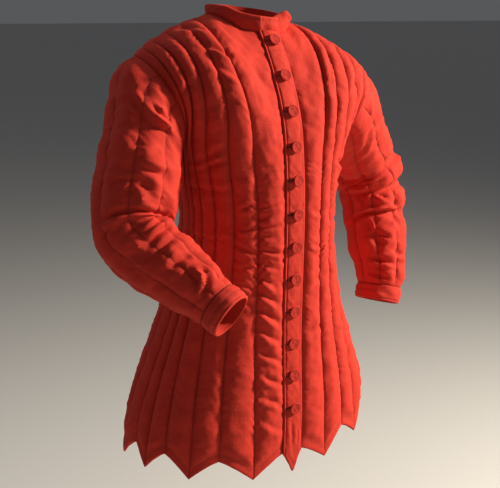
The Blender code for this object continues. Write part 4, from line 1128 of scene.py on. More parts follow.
def cloth_look(name, colour, relief=1.0, pitch=0.0011):
    """Woven matt cloth: thread relief, slubs, uneven dye, a soft sheen, and painted shade that darkens the colour
    in valleys and wherever the mesh's shade attribute is high.
    """
    look = bpy.data.materials.new(name)
    look.use_nodes = True
    nodes, links = look.node_tree.nodes, look.node_tree.links
    shader = nodes["Principled BSDF"]
    shader.inputs["Roughness"].default_value = 0.82
    shader.inputs["Metallic"].default_value = 0.0
    shader.inputs["Specular IOR Level"].default_value = 0.16
    shader.inputs["Sheen Weight"].default_value = 0.07
    shader.inputs["Sheen Roughness"].default_value = 0.40
    shader.inputs["Sheen Tint"].default_value = (1.0, 0.20, 0.08, 1.0)
    place = nodes.new("ShaderNodeTexCoord")

    def scaled(source, scale):
        mapping = nodes.new("ShaderNodeMapping")
        mapping.inputs["Scale"].default_value = scale
        links.new(place.outputs[source], mapping.inputs["Vector"])
        return mapping.outputs["Vector"]

    def noise(source, scale, detail=3.0, rough=0.55):
        made = nodes.new("ShaderNodeTexNoise")
        made.inputs["Scale"].default_value = 1.0
        made.inputs["Detail"].default_value = detail
        made.inputs["Roughness"].default_value = rough
        links.new(scaled(source, scale), made.inputs["Vector"])
        return made.outputs["Fac"]

    def maths(kind, a, b):
        made = nodes.new("ShaderNodeMath")
        made.operation = kind
        for slot_at, value in enumerate((a, b)):
            if isinstance(value, (int, float)):
                made.inputs[slot_at].default_value = value
            elif value is not None:
                links.new(value, made.inputs[slot_at])
        return made.outputs[0]

    split = nodes.new("ShaderNodeSeparateXYZ")
    links.new(scaled("UV", (2 * math.pi / pitch,) * 3), split.inputs[0])
    warp = maths("SINE", split.outputs[0], None)
    weft = maths("SINE", split.outputs[1], None)
    weave = maths("MULTIPLY", warp, weft)
    slub_a = noise("UV", (1100.0, 70.0, 1.0), 2.0)
    slub_b = noise("UV", (70.0, 1100.0, 1.0), 2.0)
    slubs = maths("ADD", slub_a, slub_b)
    crumple = noise("Object", (260.0, 260.0, 260.0), 4.0)
    height = maths("ADD", maths("MULTIPLY", weave, 0.22), maths("MULTIPLY", slubs, 0.9))
    fine = nodes.new("ShaderNodeBump")
    fine.inputs["Strength"].default_value = 0.35 * relief
    fine.inputs["Distance"].default_value = 0.0003
    links.new(height, fine.inputs["Height"])
    broad = nodes.new("ShaderNodeBump")
    broad.inputs["Strength"].default_value = 0.55 * relief
    broad.inputs["Distance"].default_value = 0.0011
    links.new(crumple, broad.inputs["Height"])
    links.new(fine.outputs["Normal"], broad.inputs["Normal"])
    links.new(broad.outputs["Normal"], shader.inputs["Normal"])

    # Colour of the painted shade: half the cloth's colour
    deep = tuple(c * 0.50 for c in colour[:3]) + (1.0,)
    pale = tuple(min(1.0, c * 1.22) for c in colour[:3]) + (1.0,)

    def blend(amount, a, b):
        made = nodes.new("ShaderNodeMix")
        made.data_type = "RGBA"
        links.new(amount, made.inputs["Factor"])
        for socket, value in (("A", a), ("B", b)):
            target = [s for s in made.inputs if s.name == socket and s.type == "RGBA"][0]
            if isinstance(value, tuple):
                target.default_value = value
            else:
                links.new(value, target)
        return [s for s in made.outputs if s.type == "RGBA"][0]

    def stretched(value, low, high, to_low, to_high):
        made = nodes.new("ShaderNodeMapRange")
        made.inputs["From Min"].default_value = low
        made.inputs["From Max"].default_value = high
        made.inputs["To Min"].default_value = to_low
        made.inputs["To Max"].default_value = to_high
        links.new(value, made.inputs["Value"])
        return made.outputs["Result"]

    # Painted shade: the shade attribute mixes the colour up to 62 per cent of the way towards the painted shade
    # colour
    painted_shade_mask = nodes.new("ShaderNodeAttribute")
    painted_shade_mask.attribute_name = "shade"
    dye = stretched(noise("Object", (17.0, 17.0, 17.0), 5.0, 0.62), 0.36, 0.70, 0.0, 0.45)
    threads = stretched(slubs, 0.75, 1.25, 0.0, 0.30)
    rubbed = stretched(noise("Object", (70.0, 70.0, 40.0), 4.0, 0.6), 0.55, 0.75, 0.0, 0.35)
    base = blend(dye, tuple(colour), tuple(c * 0.80 for c in colour[:3]) + (1.0,))
    base = blend(threads, base, pale)
    base = blend(rubbed, base, pale)
    base = blend(stretched(painted_shade_mask.outputs["Fac"], 0.0, 1.0, 0.0, 0.62), base, deep)
    links.new(base, shader.inputs["Base Color"])
    rough = stretched(slubs, 0.7, 1.3, 0.88, 0.74)
    links.new(rough, shader.inputs["Roughness"])
    return look


def plain_look(name, colour, rough=0.8, sheen=0.2):
    """Thread or shadowed cloth with a fine twist in it."""
    look = bpy.data.materials.new(name)
    look.use_nodes = True
    nodes, links = look.node_tree.nodes, look.node_tree.links
    shader = nodes["Principled BSDF"]
    shader.inputs["Roughness"].default_value = rough
    shader.inputs["Sheen Weight"].default_value = sheen
    place = nodes.new("ShaderNodeTexCoord")
    twist = nodes.new("ShaderNodeTexNoise")
    twist.inputs["Scale"].default_value = 2400.0
    links.new(place.outputs["Object"], twist.inputs["Vector"])
    tone = nodes.new("ShaderNodeMapRange")
    tone.inputs["To Min"].default_value = 0.0
    tone.inputs["To Max"].default_value = 1.0
    links.new(twist.outputs["Fac"], tone.inputs["Value"])
    mix = nodes.new("ShaderNodeMix")
    mix.data_type = "RGBA"
    links.new(tone.outputs["Result"], mix.inputs["Factor"])
    low, high = [s for s in mix.inputs if s.type == "RGBA"]
    low.default_value = tuple(c * 0.75 for c in colour[:3]) + (1.0,)
    high.default_value = tuple(min(1.0, c * 1.2) for c in colour[:3]) + (1.0,)
    links.new([s for s in mix.outputs if s.type == "RGBA"][0], shader.inputs["Base Color"])
    bump = nodes.new("ShaderNodeBump")
    bump.inputs["Strength"].default_value = 0.4
    bump.inputs["Distance"].default_value = 0.0002
    links.new(twist.outputs["Fac"], bump.inputs["Height"])
    links.new(bump.outputs["Normal"], shader.inputs["Normal"])
    return look


def put(thing, *nodes, slot="cloth"):
    """Ties a finished piece to the frame and, if nodes are named, in their place."""
    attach(thing, "root")
    if nodes:
        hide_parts(*nodes)
    return thing


def flat_area(grid):
    """Area of a grid of points."""
    a = grid[1:, :-1] - grid[:-1, :-1]
    b = grid[:-1, 1:] - grid[:-1, :-1]
    c = grid[1:, :-1] - grid[1:, 1:]
    d = grid[:-1, 1:] - grid[1:, 1:]
    return float(
        np.linalg.norm(np.cross(a, b), axis=2).sum() + np.linalg.norm(np.cross(c, d), axis=2).sum()
    ) / 2


def declare(inner):
    """Flat size of a panel: the cut that it was made from is taken as large as its inner face."""
    width = float(np.linalg.norm(np.diff(inner, axis=1), axis=2).sum(axis=1).max()) * 1.01
    length = float(np.linalg.norm(np.diff(inner, axis=0), axis=2).sum(axis=0).max()) * 1.01
    area = flat_area(inner)
    area = min(max(area, 0.31 * width * length), width * length)
    return round(width, 3), round(length, 3), round(area, 4)


def calmed(grid, bends=()):
    """Eases bends along the columns of a body grid, and across it at the columns listed."""
    grid = grid.copy()
    rows = np.arange(len(grid))
    columns = np.arange(grid.shape[1])
    upper = np.clip((rows - 10) / 4, 0, 1) * np.clip((len(grid) - 1 - rows) / 2, 0, 1)
    for bend in bends:
        near = upper[:, None] * np.exp(-(((columns - bend) / 2.2) ** 2))[None, :]
        for _ in range(10):
            middle = (grid[:, :-2] + grid[:, 2:]) / 2
            grid[:, 1:-1] += (middle - grid[:, 1:-1]) * 0.5 * near[:, 1:-1, None]
    share = np.clip((rows - 1) / 3, 0, 1) * np.clip((len(grid) - 3 - rows) / 4, 0, 1)
    for _ in range(3):
        middle = (grid[:-2] + grid[2:]) / 2
        grid[1:-1] += (middle - grid[1:-1]) * 0.5 * share[1:-1, None, None]
    return grid


def panel(name, grid, normals, ease, steps, lap, corners, look, thread, seed):
    """One quilted panel of the body with its stitches."""
    grid_rows = row_places(grid, FINE_STEP, dense=(0,))
    at, share, channel = channel_places(steps, CHANNEL_FINE, WIDE_FINE)
    base = np.full(grid.shape[:2], SEAM_WALL)
    if lap:
        lap_at = np.arange(6) * lap / 6
        at = np.concatenate((lap_at, at + lap))
        share = np.concatenate((np.full(6, 0.0), share))
        channel = np.concatenate((np.full(6, -1), channel))
        base[:, :lap + 1] = UNDERLAP_WALL
    lines = [c + lap for c in np.cumsum((0,) + tuple(steps))[:-1]]
    corners = [c + lap for c in corners]
    near_top = np.clip((grid_rows - (len(grid) - 3.5)) / 2.0, 0.0, 1.0)[:, None, None]
    grid = calmed(grid, corners)
    normals = unit(calmed(normals, corners))

    def fine(values, smooth_it=True):
        if not smooth_it:
            return straight(straight(values, grid_rows, 0), at, 1)
        rows_done = resample(values, grid_rows, 0)
        cornered = resample(rows_done, at, 1, lines + corners)
        return cornered * near_top + resample(rows_done, at, 1, lines) * (1 - near_top)

    inner = fine(grid)
    facing = unit(fine(normals))
    eased = np.clip(fine(ease, False), 0.0, 1.0)
    up = along(inner, 0)
    distance = np.zeros(inner.shape[:2])
    distance[:, len(at) - len(share):] = 0
    first = 6 if lap else 0
    distance[:, first:] = line_distance(inner[:, first:], np.where(share[first:] > 1 - 1e-9, 0.5, share[first:]))
    crest = 1.0 - np.abs(2.0 * share - 1.0) ** CREST
    crest[:first] = 0.0
    crest[-1] = 0.0
    hem = np.clip((up - HEM_STITCH) / 0.020, 0.0, 1.0)
    hem = 0.22 + 0.78 * hem * hem * (3 - 2 * hem)
    relief = BODY_PUFF * crest[None, :] * eased * hem
    soft = np.clip(eased * hem, 0.0, 1.0) * (1 - np.exp(-distance / 0.004))
    relief += soft * 0.0011 * waves(inner, 0.050, seed, stretch=(1.0, 1.0, 1.6))
    relief += soft * 0.0005 * waves(inner, 0.018, seed + 1, stretch=(1.0, 1.0, 1.8))
    gain = np.ones(inner.shape[:2])
    for piece, x, low, high, reach, more in PUCKER_SPOTS:
        if piece == name:
            near = np.exp(-(((inner[..., 0] - x) / reach) ** 2))
            level = np.clip((inner[..., 2] - low) / 0.03, 0, 1) * np.clip((high - inner[..., 2]) / 0.03, 0, 1)
            gain += more * near * level
    relief += puckers(up, distance, channel, seed + 20) * gain * np.clip(eased, 0, 1) * np.clip(up / 0.03, 0, 1)
    flat = inner[..., (0, 2)]
    for row in BODY_CREASES:
        if row[0] == name:
            spots = np.array(row[1:7]).reshape(3, 2)
            relief += FOLD_GAIN * crease(flat, spots, row[7], row[8], row[9]) * np.clip(eased * 1.5, 0, 1)
    wall = fine(base, False) + relief
    stitched = np.exp(-(distance / 0.0011) ** 2) * (channel >= 0)[None, :]
    wall -= 0.0007 * stitched * np.clip(up / 0.004, 0, 1)
    hem_line = np.exp(-(((up - HEM_STITCH) / 0.0014) ** 2))
    wall -= 0.0006 * hem_line
    ends = np.minimum(along(inner, 1), along(inner[:, ::-1], 1)[:, ::-1])
    top = along(inner[::-1], 0)[::-1]
    seam = np.exp(-np.minimum(ends, top) / 0.0013)
    wall = np.maximum(wall, 0.0016) - 0.0011 * seam
    wall = wall * rounded(up)
    outer = inner + facing * wall[..., None]
    # Painted shade: darker colour along the stitched lines, the sewn edges and the hem stitching, where the cloth
    # dips
    shade = np.clip(0.95 * np.exp(-distance / 0.0018) * (channel >= 0)[None, :], 0, 1)
    shade = np.maximum(shade, 0.75 * np.exp(-np.minimum(ends, top) / 0.0015))
    shade = np.maximum(shade, 0.55 * hem_line)
    thing = sheet_piece(name, inner, outer, shade, look)

    skin = Skin()
    lines = sorted({int(np.argmin(np.abs(at - (lap + c)))) for c in np.cumsum((0,) + tuple(steps))[1:-1]})
    for column in lines:
        run = up[:, column] > HEM_STITCH
        stitch_line(skin, outer[run, column], facing[run, column])
    hem_row = np.argmin(np.abs(up - HEM_STITCH), axis=0)
    picks = np.arange(len(at))
    stitch_line(skin, outer[hem_row, picks][first:], facing[hem_row, picks][first:], 0.0040, 0.0027)
    threads = threads_of("stitches_" + name, thread, skin)
    return thing, threads, inner, outer, facing


def arm_piece(side, grid, normals, ease, look, thread, seed):
    """A sleeve and its cuff."""
    last = len(ARM_ROWS)
    made = []
    part = grid[:last]
    rows = row_places(part, FINE_STEP * 0.95)
    at, share, channel = channel_places((ARM_STEPS,) * 8, ARM_FINE, closed=True)
    corners = list(range(0, 24, ARM_STEPS))

    def fine(values, smooth_it=True):
        if smooth_it:
            return resample(resample(values, rows, 0), at, 1, corners, closed=True)
        return straight(straight(values, rows, 0), at, 1, closed=True)

    inner = fine(part)
    facing = unit(fine(normals[:last]))
    eased = np.clip(fine(ease[:last], False), 0, 1)
    way = np.interp(rows, np.arange(last), ARM_ROWS)[:, None] * np.ones(len(at))[None, :]
    angle = (at * 360.0 / 24)[None, :] * np.ones(len(rows))[:, None]
    distance = line_distance(inner, share, closed=True)
    crest = 1.0 - np.abs(2.0 * share - 1.0) ** CREST
    down = along(inner, 0)
    relief = SLEEVE_PUFF * crest[None, :] * eased
    soft = np.clip(eased + 0.25, 0.0, 1.0) * np.clip(down / 0.02, 0, 1) * np.clip((0.4625 - way) / 0.015, 0, 1)
    relief += soft * 0.0012 * waves(inner, 0.046, seed)
    relief += soft * 0.0009 * crumples(inner, 0.042, seed + 1)
    relief += soft * 0.0004 * crumples(inner, 0.018, seed + 2)
    relief += puckers(down, distance, channel, seed + 20) * soft * 0.9
    for row in ARM_CREASES[side]:
        spots = np.array(row[:6]).reshape(3, 2)
        middle = spots[1, 1]
        flat_spots = np.stack((spots[:, 0], np.radians(spots[:, 1] - middle) * 0.056), axis=1)
        turn = (angle - middle + 180.0) % 360.0 - 180.0
        flat = np.stack((way, np.radians(turn) * 0.056), axis=-1)
        relief += FOLD_GAIN * crease(flat, flat_spots, row[6], row[7], row[8]) * np.clip(soft * 1.4, 0, 1)
    stitched = np.exp(-(distance / 0.0011) ** 2)
    wall = SEAM_WALL + relief - 0.0006 * stitched
    ends = np.minimum(down, along(inner[::-1], 0)[::-1])
    wall = np.maximum(wall, 0.0016) - 0.0011 * np.exp(-ends / 0.0013)
    outer = inner + facing * wall[..., None]
    # Painted shade: darker colour along the stitched lines and the sewn ends of the sleeve
    shade = np.clip(0.9 * np.exp(-distance / 0.0018), 0, 1)
    shade = np.maximum(shade, 0.75 * np.exp(-ends / 0.0015))
    sleeve = tube_piece(f"sleeve_{side}", inner, outer, shade, look)
    skin = Skin()
    for column in [i for i, s in enumerate(share) if s < 1e-9]:
        stitch_line(skin, outer[:, column], facing[:, column])
    sleeve_threads = threads_of(f"stitches_sleeve_{side}", thread, skin)
    made.append((sleeve, sleeve_threads, inner))

    part = grid[last:].copy()
    out_part = normals[last:]
    rows = np.append(bunched(16), 1.0) * (len(CUFF_ROWS) - 1)
    at = np.arange(0, 24, 0.25)
    inner = resample(resample(part, rows, 0), at, 1, closed=True)
    facing = unit(resample(resample(out_part, rows, 0), at, 1, closed=True))
    down = along(inner, 0)
    rest = along(inner[::-1], 0)[::-1]
    ends = np.minimum(down, rest)
    band = 0.0011 * np.sin(np.pi * np.clip(down / (down + rest), 0, 1)) + 0.0007 * waves(inner, 0.022, seed + 3)
    wall = (SEAM_WALL + CUFF_FLARE * 0.4 + band) * rounded(ends, 0.0028)
    for place in (0.0045, 0.0165):
        wall -= 0.0011 * np.exp(-(((rest - place) / 0.0012) ** 2))
        wall += 0.0005 * np.exp(-(((rest - place - 0.0035) / 0.0022) ** 2))
    outer = inner + facing * wall[..., None]
    # Painted shade: darker colour at the seam to the sleeve and in the two stitched grooves
    shade = 0.7 * np.exp(-down / 0.0015) + 0.45 * np.exp(-(((rest - 0.0045) / 0.0014) ** 2))
    shade += 0.75 * np.exp(-(((rest - 0.0165) / 0.0014) ** 2))
    cuff = tube_piece(f"cuff_{side}", inner, outer, np.clip(shade, 0, 1), look)
    skin = Skin()
    for place in (0.0045, 0.0165, 0.0300):
        row = np.argmin(np.abs(rest - place), axis=0)
        picks = np.arange(len(at))
        ring = outer[row, picks]
        ring_n = facing[row, picks]
        stitch_line(skin, np.vstack((ring, ring[:1])), np.vstack((ring_n, ring_n[:1])), 0.0038, 0.0025)
    cuff_threads = threads_of(f"stitches_cuff_{side}", thread, skin)
    made.append((cuff, cuff_threads, inner))
    return made


def band_piece(grid, normals, look, thread):
    """The button band, its topstitching and its creases."""
    rows = row_places(grid, FINE_STEP, dense=(0,))
    at = np.append(bunched(26), 1.0) * (grid.shape[1] - 1)
    grid = calmed(grid)
    grid[:, -1] += unit(grid[:, -1] - grid[:, -2]) * BAND_TUCK
    flat_grid = resample(resample(grid, rows, 0), at, 1)
    facing = unit(resample(resample(normals, rows, 0), at, 1))
    inner = flat_grid + facing * BAND_LIFT
    across = along(inner, 1)
    edge = np.minimum(across, across[:, -1:] - across)
    up = along(inner, 0)
    crown = 0.0012 * np.sin(np.pi * across / across[:, -1:])
    ripple = 0.0005 * waves(inner, 0.030, 71) + 0.0003 * waves(inner, 0.011, 72)
    wall = BAND_WALL + (crown + ripple) * np.clip(edge / 0.008, 0, 1)
    wall -= 0.0007 * np.exp(-(((edge - 0.0060) / 0.0011) ** 2))
    from_right = across[:, -1:] - across
    wall += 0.0016 * np.exp(-(((from_right - 0.0026) / 0.0017) ** 2))
    wall -= 0.0008 * np.exp(-(((from_right - 0.0062) / 0.0013) ** 2))
    hem_line = np.exp(-(((up - HEM_STITCH) / 0.0013) ** 2))
    wall -= 0.0006 * hem_line
    flat = inner[..., (0, 2)]
    for x, low, high, depth in ((-0.012, -0.800, -0.735, 0.0016), (0.010, -0.800, -0.745, 0.0014), (0.001, -0.790, -0.752, 0.0009)):
        spots = ((x, low), (x + 0.001, (low + high) / 2), (x, high))
        wall += crease(flat, spots, depth, 0.0034, 0.8)
    for number in range(BUTTON_COUNT):
        z = BUTTON_FIRST - BUTTON_PITCH * number
        for drop, depth in ((0.014, 0.0008), (-0.015, 0.0006)):
            spots = ((-0.018, z - drop), (-0.003, z - drop * 0.75), (0.016, z - drop * 1.1))
            wall += crease(flat, spots, depth, 0.0035, 0.6)
    wall = np.maximum(wall, 0.0016) * rounded(np.minimum(edge, up), 0.0026)
    outer = inner + facing * wall[..., None]
    # Painted shade: darker colour in the stitched grooves, along the hem stitching and at the band's edges
    shade = np.clip(0.45 * np.exp(-np.abs(edge - 0.006) / 0.0012) + 0.5 * hem_line, 0, 1)
    shade = np.maximum(shade, 0.75 * np.exp(-edge / 0.0010))
    thing = sheet_piece("button_band", inner, outer, shade, look)
    skin = Skin()
    picks = np.arange(len(rows))
    for column in (
        np.argmin(np.abs(across - 0.0060), axis=1),
        np.argmin(np.abs(across[:, -1:] - across - 0.0060), axis=1),
    ):
        run = up[picks, column] > HEM_STITCH
        stitch_line(skin, outer[picks, column][run], facing[picks, column][run], 0.0040, 0.0027)
    hem_row = np.argmin(np.abs(up - HEM_STITCH), axis=0)
    columns = np.arange(len(at))
    stitch_line(skin, outer[hem_row, columns], facing[hem_row, columns], 0.0040, 0.0027)
    level = np.argmin(np.abs(outer[..., 2] + 0.062), axis=0)
    stitch_line(skin, outer[level, columns], facing[level, columns], 0.0036, 0.0025)
    threads = threads_of("stitches_button_band", thread, skin)
    return thing, threads, inner, outer, facing


def collar_piece(inner, outer, look, thread):
    """The standing collar with its topstitching and small gathers."""
    rows = np.append(bunched(18), 1.0) * (inner.shape[0] - 1)
    count = inner.shape[1]
    places = [i + s for i in range(count - 1) for s in (bunched(10) if i in (0, count - 2) else np.arange(7) / 7)]
    at = np.array(places + [count - 1.0])
    low = resample(resample(inner, rows, 0), at, 1)
    high = resample(resample(outer, rows, 0), at, 1)
    facing = unit(high - low)
    up = along(low, 0)
    tall = up[-1:]
    around = along(low, 1)
    edge = np.minimum(np.minimum(around, around[:, -1:] - around), tall - up)
    wall = np.linalg.norm(high - low, axis=2)
    swell = 0.0011 * np.sin(np.pi * np.clip(up / tall, 0, 1))
    gathers = 0.0006 * np.sin(2 * np.pi * around / 0.0055 + 1.2 * np.sin(around * 60)) * np.exp(-((tall - up - 0.005) / 0.004) ** 2)
    ripple = 0.0006 * waves(low, 0.020, 81)
    wall = wall + (swell + ripple) * np.clip(edge / 0.006, 0, 1) + gathers * np.clip(edge / 0.003, 0, 1)
    wall -= 0.0006 * np.exp(-(((tall - up - 0.0075) / 0.0012) ** 2))
    wall = np.maximum(wall, 0.0014) * rounded(edge, 0.0026)
    wall -= 0.0008 * np.exp(-up / 0.0012)
    wall = np.maximum(wall, 0.0005)
    outer_fine = low + facing * wall[..., None]
    # Painted shade: darker colour at the foot of the collar and in its stitched groove
    shade = np.clip(0.8 * np.exp(-up / 0.0018) + 0.4 * np.exp(-np.abs(tall - up - 0.0075) / 0.0012), 0, 1)
    thing = sheet_piece("collar", low, outer_fine, shade, look)
    skin = Skin()
    picks = np.arange(len(at))
    for place in (0.0075,):
        row = np.argmin(np.abs(tall - up - place), axis=0)
        stitch_line(skin, outer_fine[row, picks], facing[row, picks], 0.0038, 0.0026)
    threads = threads_of("stitches_collar", thread, skin)
    return thing, threads, low


def button_piece(number, foot, facing, look):
    """A cloth-covered button, gathered behind, on a shank of wound thread."""
    side_way = unit(np.cross((0.0, 1.0, 0.0), facing))
    up_way = np.cross(facing, side_way)
    turns = np.linspace(0, 2 * np.pi, 56, endpoint=False)
    outline = (
        (0.20, 0.0), (0.17, 0.0006), (0.19, 0.0012), (0.17, 0.0018), (0.19, 0.0024), (0.20, 0.0030),
        (0.45, 0.0034), (0.80, 0.0036), (0.94, 0.0040), (0.99, 0.0046), (1.0, 0.0053), (0.985, 0.0061),
        (0.95, 0.0067), (0.90, 0.00700), (0.84, 0.00695), (0.76, 0.00670), (0.50, 0.00655), (0.06, 0.0065),
    )
    skin = Skin()
    rings = []
    pick = np.random.RandomState(300 + number)
    phase = pick.uniform(0, 7, 3)
    for share, height in outline:
        folds = 0.020 * np.sin(11 * turns + phase[0]) + 0.014 * np.sin(17 * turns + phase[1])
        behind = 1.0 if 0.4 < share and height < 0.0045 else 0.0
        radius = share * BUTTON_SHOWN * (1 + folds * behind * 0.6)
        lift = height + (0.00018 * np.sin(3 * turns + phase[2]) if height > 0.006 else 0.0)
        rings.append(
            foot + facing * np.reshape(lift + 0 * turns, (-1, 1))
            + (side_way[None] * np.cos(turns)[:, None] + up_way[None] * np.sin(turns)[:, None]) * np.reshape(radius + 0 * turns, (-1, 1))
        )
    block = np.array(rings)
    shares, heights = np.array(outline).T
    reach = (shares * BUTTON_SHOWN + np.where(heights > 0.0045, 0.0, 0.004))[:, None]
    cloth = np.stack((reach * np.cos(turns), reach * np.sin(turns)), axis=-1)
    # Painted shade: darker colour on the shank and gathered underside, under the rim and in the dish of the face
    shade = np.zeros(block.shape[:2])
    shade[:7] = 0.8
    shade[7:9] = 0.30
    shade[15:17] = 0.35
    ids = skin.grid(block, cloth, shade, closed=True)
    low = skin.add([foot])[0]
    high = skin.add([foot + facing * 0.0065])[0]
    for k in range(len(turns)):
        n = (k + 1) % len(turns)
        skin.faces.append([low, ids[0, n], ids[0, k]])
        skin.faces.append([high, ids[-1, k], ids[-1, n]])
    return face_out(skin.make(f"covered_button_{number:02d}", look, sharp=70.0))


def buttonhole(skin, painted_slit_shade, middle, facing, way, tree):
    """A worked buttonhole: a slit with thread sewn over its edges all round, and a near-black disc of painted
    shade over the slit.
    """
    side = unit(np.cross(facing, way))
    count = 46
    turns = np.linspace(0, 2 * np.pi, count, endpoint=False)
    half = BUTTONHOLE / 2
    spots, ways, normals = [], [], []
    slit = []
    for turn in turns:
        x = half * math.copysign(abs(math.cos(turn)) ** 0.8, math.cos(turn))
        y = 0.0013 * math.copysign(abs(math.sin(turn)) ** 0.9, math.sin(turn))
        out = unit(np.array((math.cos(turn) * 0.25, math.sin(turn))))
        for far, target in ((0.0010, spots), (-0.0002, slit)):
            at = middle + way * (x + out[0] * far) + side * (y + out[1] * far)
            hit = tree.ray_cast(Vector(at + facing * 0.02), Vector(-facing), 0.05)
            at = np.array(hit[0]) if hit[0] else at
            target.append(at)
        ways.append(way * out[0] + side * out[1])
        normals.append(facing)
    grains(skin, np.array(spots) + facing * 0.0001, ways, normals, 0.0026, 0.00040, 0.3)
    # Painted shade: a near-black disc laid just over the band at the slit stands for the shade in the opening
    centre = np.mean(slit, axis=0)
    top = [p + facing * 0.00025 for p in slit]
    ring = painted_slit_shade.add(top, shade=np.ones(count))
    hub = painted_slit_shade.add([centre + facing * 0.00020], shade=np.ones(1))[0]
    under = painted_slit_shade.add([centre - facing * 0.0008], shade=np.ones(1))[0]
    for k in range(count):
        n = (k + 1) % count
        painted_slit_shade.faces.append([int(hub), int(ring[k]), int(ring[n])])
        painted_slit_shade.faces.append([int(under), int(ring[n]), int(ring[k])])


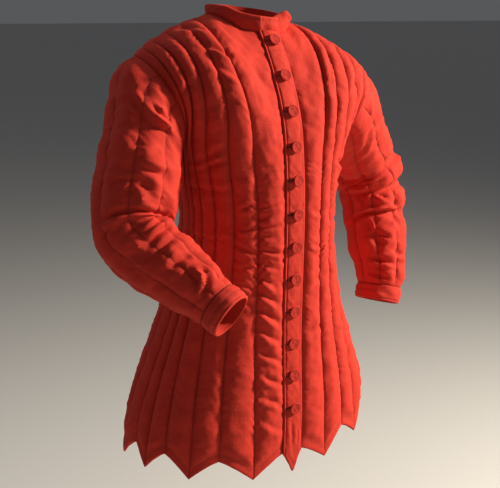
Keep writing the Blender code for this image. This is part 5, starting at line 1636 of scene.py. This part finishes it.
def main():
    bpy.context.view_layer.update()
    red = COLOURS["cloth"]
    look = cloth_look("quilted_red_cloth", red)
    trim = cloth_look("band_red_cloth", red, 0.8)
    cover = cloth_look("button_cover_cloth", COLOURS["button_cloth"], 0.6, 0.0009)
    thread = plain_look("red_sewing_thread", (0.30, 0.018, 0.012, 1.0))
    # Near-black material of the painted shade in the buttonhole slits
    dark = plain_look("buttonhole_painted_shade", (0.035, 0.004, 0.003, 1.0), 0.95, 0.0)

    fronts, back, sleeves = build_body()
    seam_line_normals(fronts, back)
    band_columns = [((w, w, w), 0.0, 1 - abs(2 * w + 1), True) for w in BAND_COLUMNS]
    band_grid, band_normals, _ = make_panel(-1, -1, band_columns)
    band_grid = inset(band_grid, last=False)
    for row in range(len(band_grid)):
        share_normal((fronts["right"][1], (row, 0)), (band_normals, (row, -1)))
    sizes = {}

    for number, (side, (grid, normals, ease)) in enumerate(fronts.items()):
        name = f"front_{side}"
        steps = STEPS[name]
        lap = grid.shape[1] - 1 - sum(steps)
        corners = [NECK_COLUMN[name]]
        thing, threads, inner, outer, facing = panel(
            name, inset(grid), normals, ease, steps, lap, corners, look, thread, 11 + 40 * number,
        )
        put(thing, name)
        put(threads)
        sizes[name] = declare(inner)

    grid, normals, ease, _ = back
    steps = STEPS["back"][::-1] + STEPS["back"]
    middle = grid.shape[1] // 2
    corners = [middle - NECK_COLUMN["back"], middle + NECK_COLUMN["back"]]
    thing, threads, inner, outer, facing = panel(
        "back", inset(grid, first=True), normals, ease, steps, 0, corners, look, thread, 131,
    )
    put(thing, "back")
    put(threads)
    sizes["back"] = declare(inner)

    for number, (side, (grid, normals, ease)) in enumerate(sleeves.items()):
        last = len(ARM_ROWS)
        inner = grid.copy()
        inner[0] += SEAM_INSET * unit(grid[1] - grid[0])
        inner[last:] += normals[last:] * CUFF_FLARE
        inner[last] = grid[last]
        for (thing, threads, face), node in zip(
            arm_piece(side, inner, normals, ease, look, thread, 211 + 30 * number),
            (f"sleeve_{side}", f"cuff_{side}"),
        ):
            put(thing, node)
            put(threads)
            wrapped = np.concatenate((face, face[:, :1]), axis=1)
            sizes[node] = declare(wrapped)

    band, band_threads, inner, outer, facing = band_piece(band_grid, band_normals, trim, thread)
    put(band, "button_band")
    put(band_threads)

    collar_inner, collar_outer = make_collar(collar_base(fronts, back, band_grid, band_normals))
    collar, collar_threads, face = collar_piece(collar_inner, collar_outer, trim, thread)
    put(collar, "collar")
    put(collar_threads)
    sizes["collar"] = declare(face)

    tree = BVHTree.FromPolygons(
        [tuple(v.co) for v in band.data.vertices], [tuple(p.vertices) for p in band.data.polygons],
    )
    worked, painted_slit_shade = Skin(), Skin()
    centre = len(BAND_COLUMNS) // 2
    heights = band_grid[:, centre, 2]
    for number in range(1, BUTTON_COUNT + 1):
        at = BUTTON_FIRST - BUTTON_PITCH * (number - 1)
        point = np.array([np.interp(at, heights, band_grid[:, centre, i]) for i in range(3)])
        normal = unit([np.interp(at, heights, band_normals[:, centre, i]) for i in range(3)])
        surface = point + normal * (BAND_LIFT + BAND_WALL + BUTTON_CLEARANCE)
        lean = np.random.RandomState(500 + number).uniform(-0.07, 0.07, 2)
        tilt = unit(normal + np.array((lean[0], 0.0, lean[1])))
        if number == BUTTON_COUNT:
            tilt = unit(normal + np.array((0.0, 0.0, -0.16)))
        button = button_piece(number, surface, tilt, cover)
        put(button, f"button_{number:02d}", slot="button_cloth")
        way = unit(np.cross((0.0, 0.0, 1.0), normal))
        if way[0] > 0:
            way = -way
        buttonhole(worked, painted_slit_shade, surface + way * 0.0098, normal, way, tree)
    holes = threads_of("buttonhole_stitches", thread, worked)
    # The near-black discs of painted shade over the buttonhole slits
    painted_slit_shades = threads_of("buttonhole_slits_painted_shade", dark, painted_slit_shade)
    put(holes)
    put(painted_slit_shades)
    sizes["button_band"] = declare(inner)
    print("flat sizes", sizes)

    bpy.ops.mesh.primitive_plane_add(size=240.0, location=(0.0, 0.0, FLOOR))
    floor = bpy.context.object
    floor.name = "studio_floor"
    ground = bpy.data.materials.new("pale_floor")
    ground.use_nodes = True
    ground.node_tree.nodes["Principled BSDF"].inputs["Base Color"].default_value = (0.62, 0.61, 0.60, 1.0)
    ground.node_tree.nodes["Principled BSDF"].inputs["Roughness"].default_value = 0.9
    floor.data.materials.append(ground)

    for name, spot, aim, size, power, tint in LIGHTS:
        lamp = bpy.data.lights.new(name, "AREA")
        lamp.shape = "DISK"
        lamp.size = size
        lamp.energy = power
        lamp.color = tint
        stand = bpy.data.objects.new(name, lamp)
        bpy.context.scene.collection.objects.link(stand)
        stand.location = spot
        stand.rotation_euler = (Vector(aim) - Vector(spot)).to_track_quat("-Z", "Y").to_euler()
    world = bpy.data.worlds.new("soft_studio")
    world.use_nodes = True
    world.node_tree.nodes["Background"].inputs["Color"].default_value = (0.86, 0.88, 0.92, 1.0)
    world.node_tree.nodes["Background"].inputs["Strength"].default_value = WORLD_LIGHT
    bpy.context.scene.world = world
    bpy.context.scene.view_settings.view_transform = "Standard"

    camera = bpy.data.cameras.new("camera")
    camera.lens = 83.52
    camera.sensor_width = 36.0
    camera.sensor_fit = "HORIZONTAL"
    eye = bpy.data.objects.new("camera", camera)
    bpy.context.scene.collection.objects.link(eye)
    turn = math.radians(CAMERA_TURN)
    eye.location = (-CAMERA_AWAY * math.sin(turn), -CAMERA_AWAY * math.cos(turn), CAMERA_HEIGHT)
    eye.rotation_euler = (math.radians(90.0 - CAMERA_PITCH), 0.0, -turn)
    bpy.context.scene.camera = eye


main()
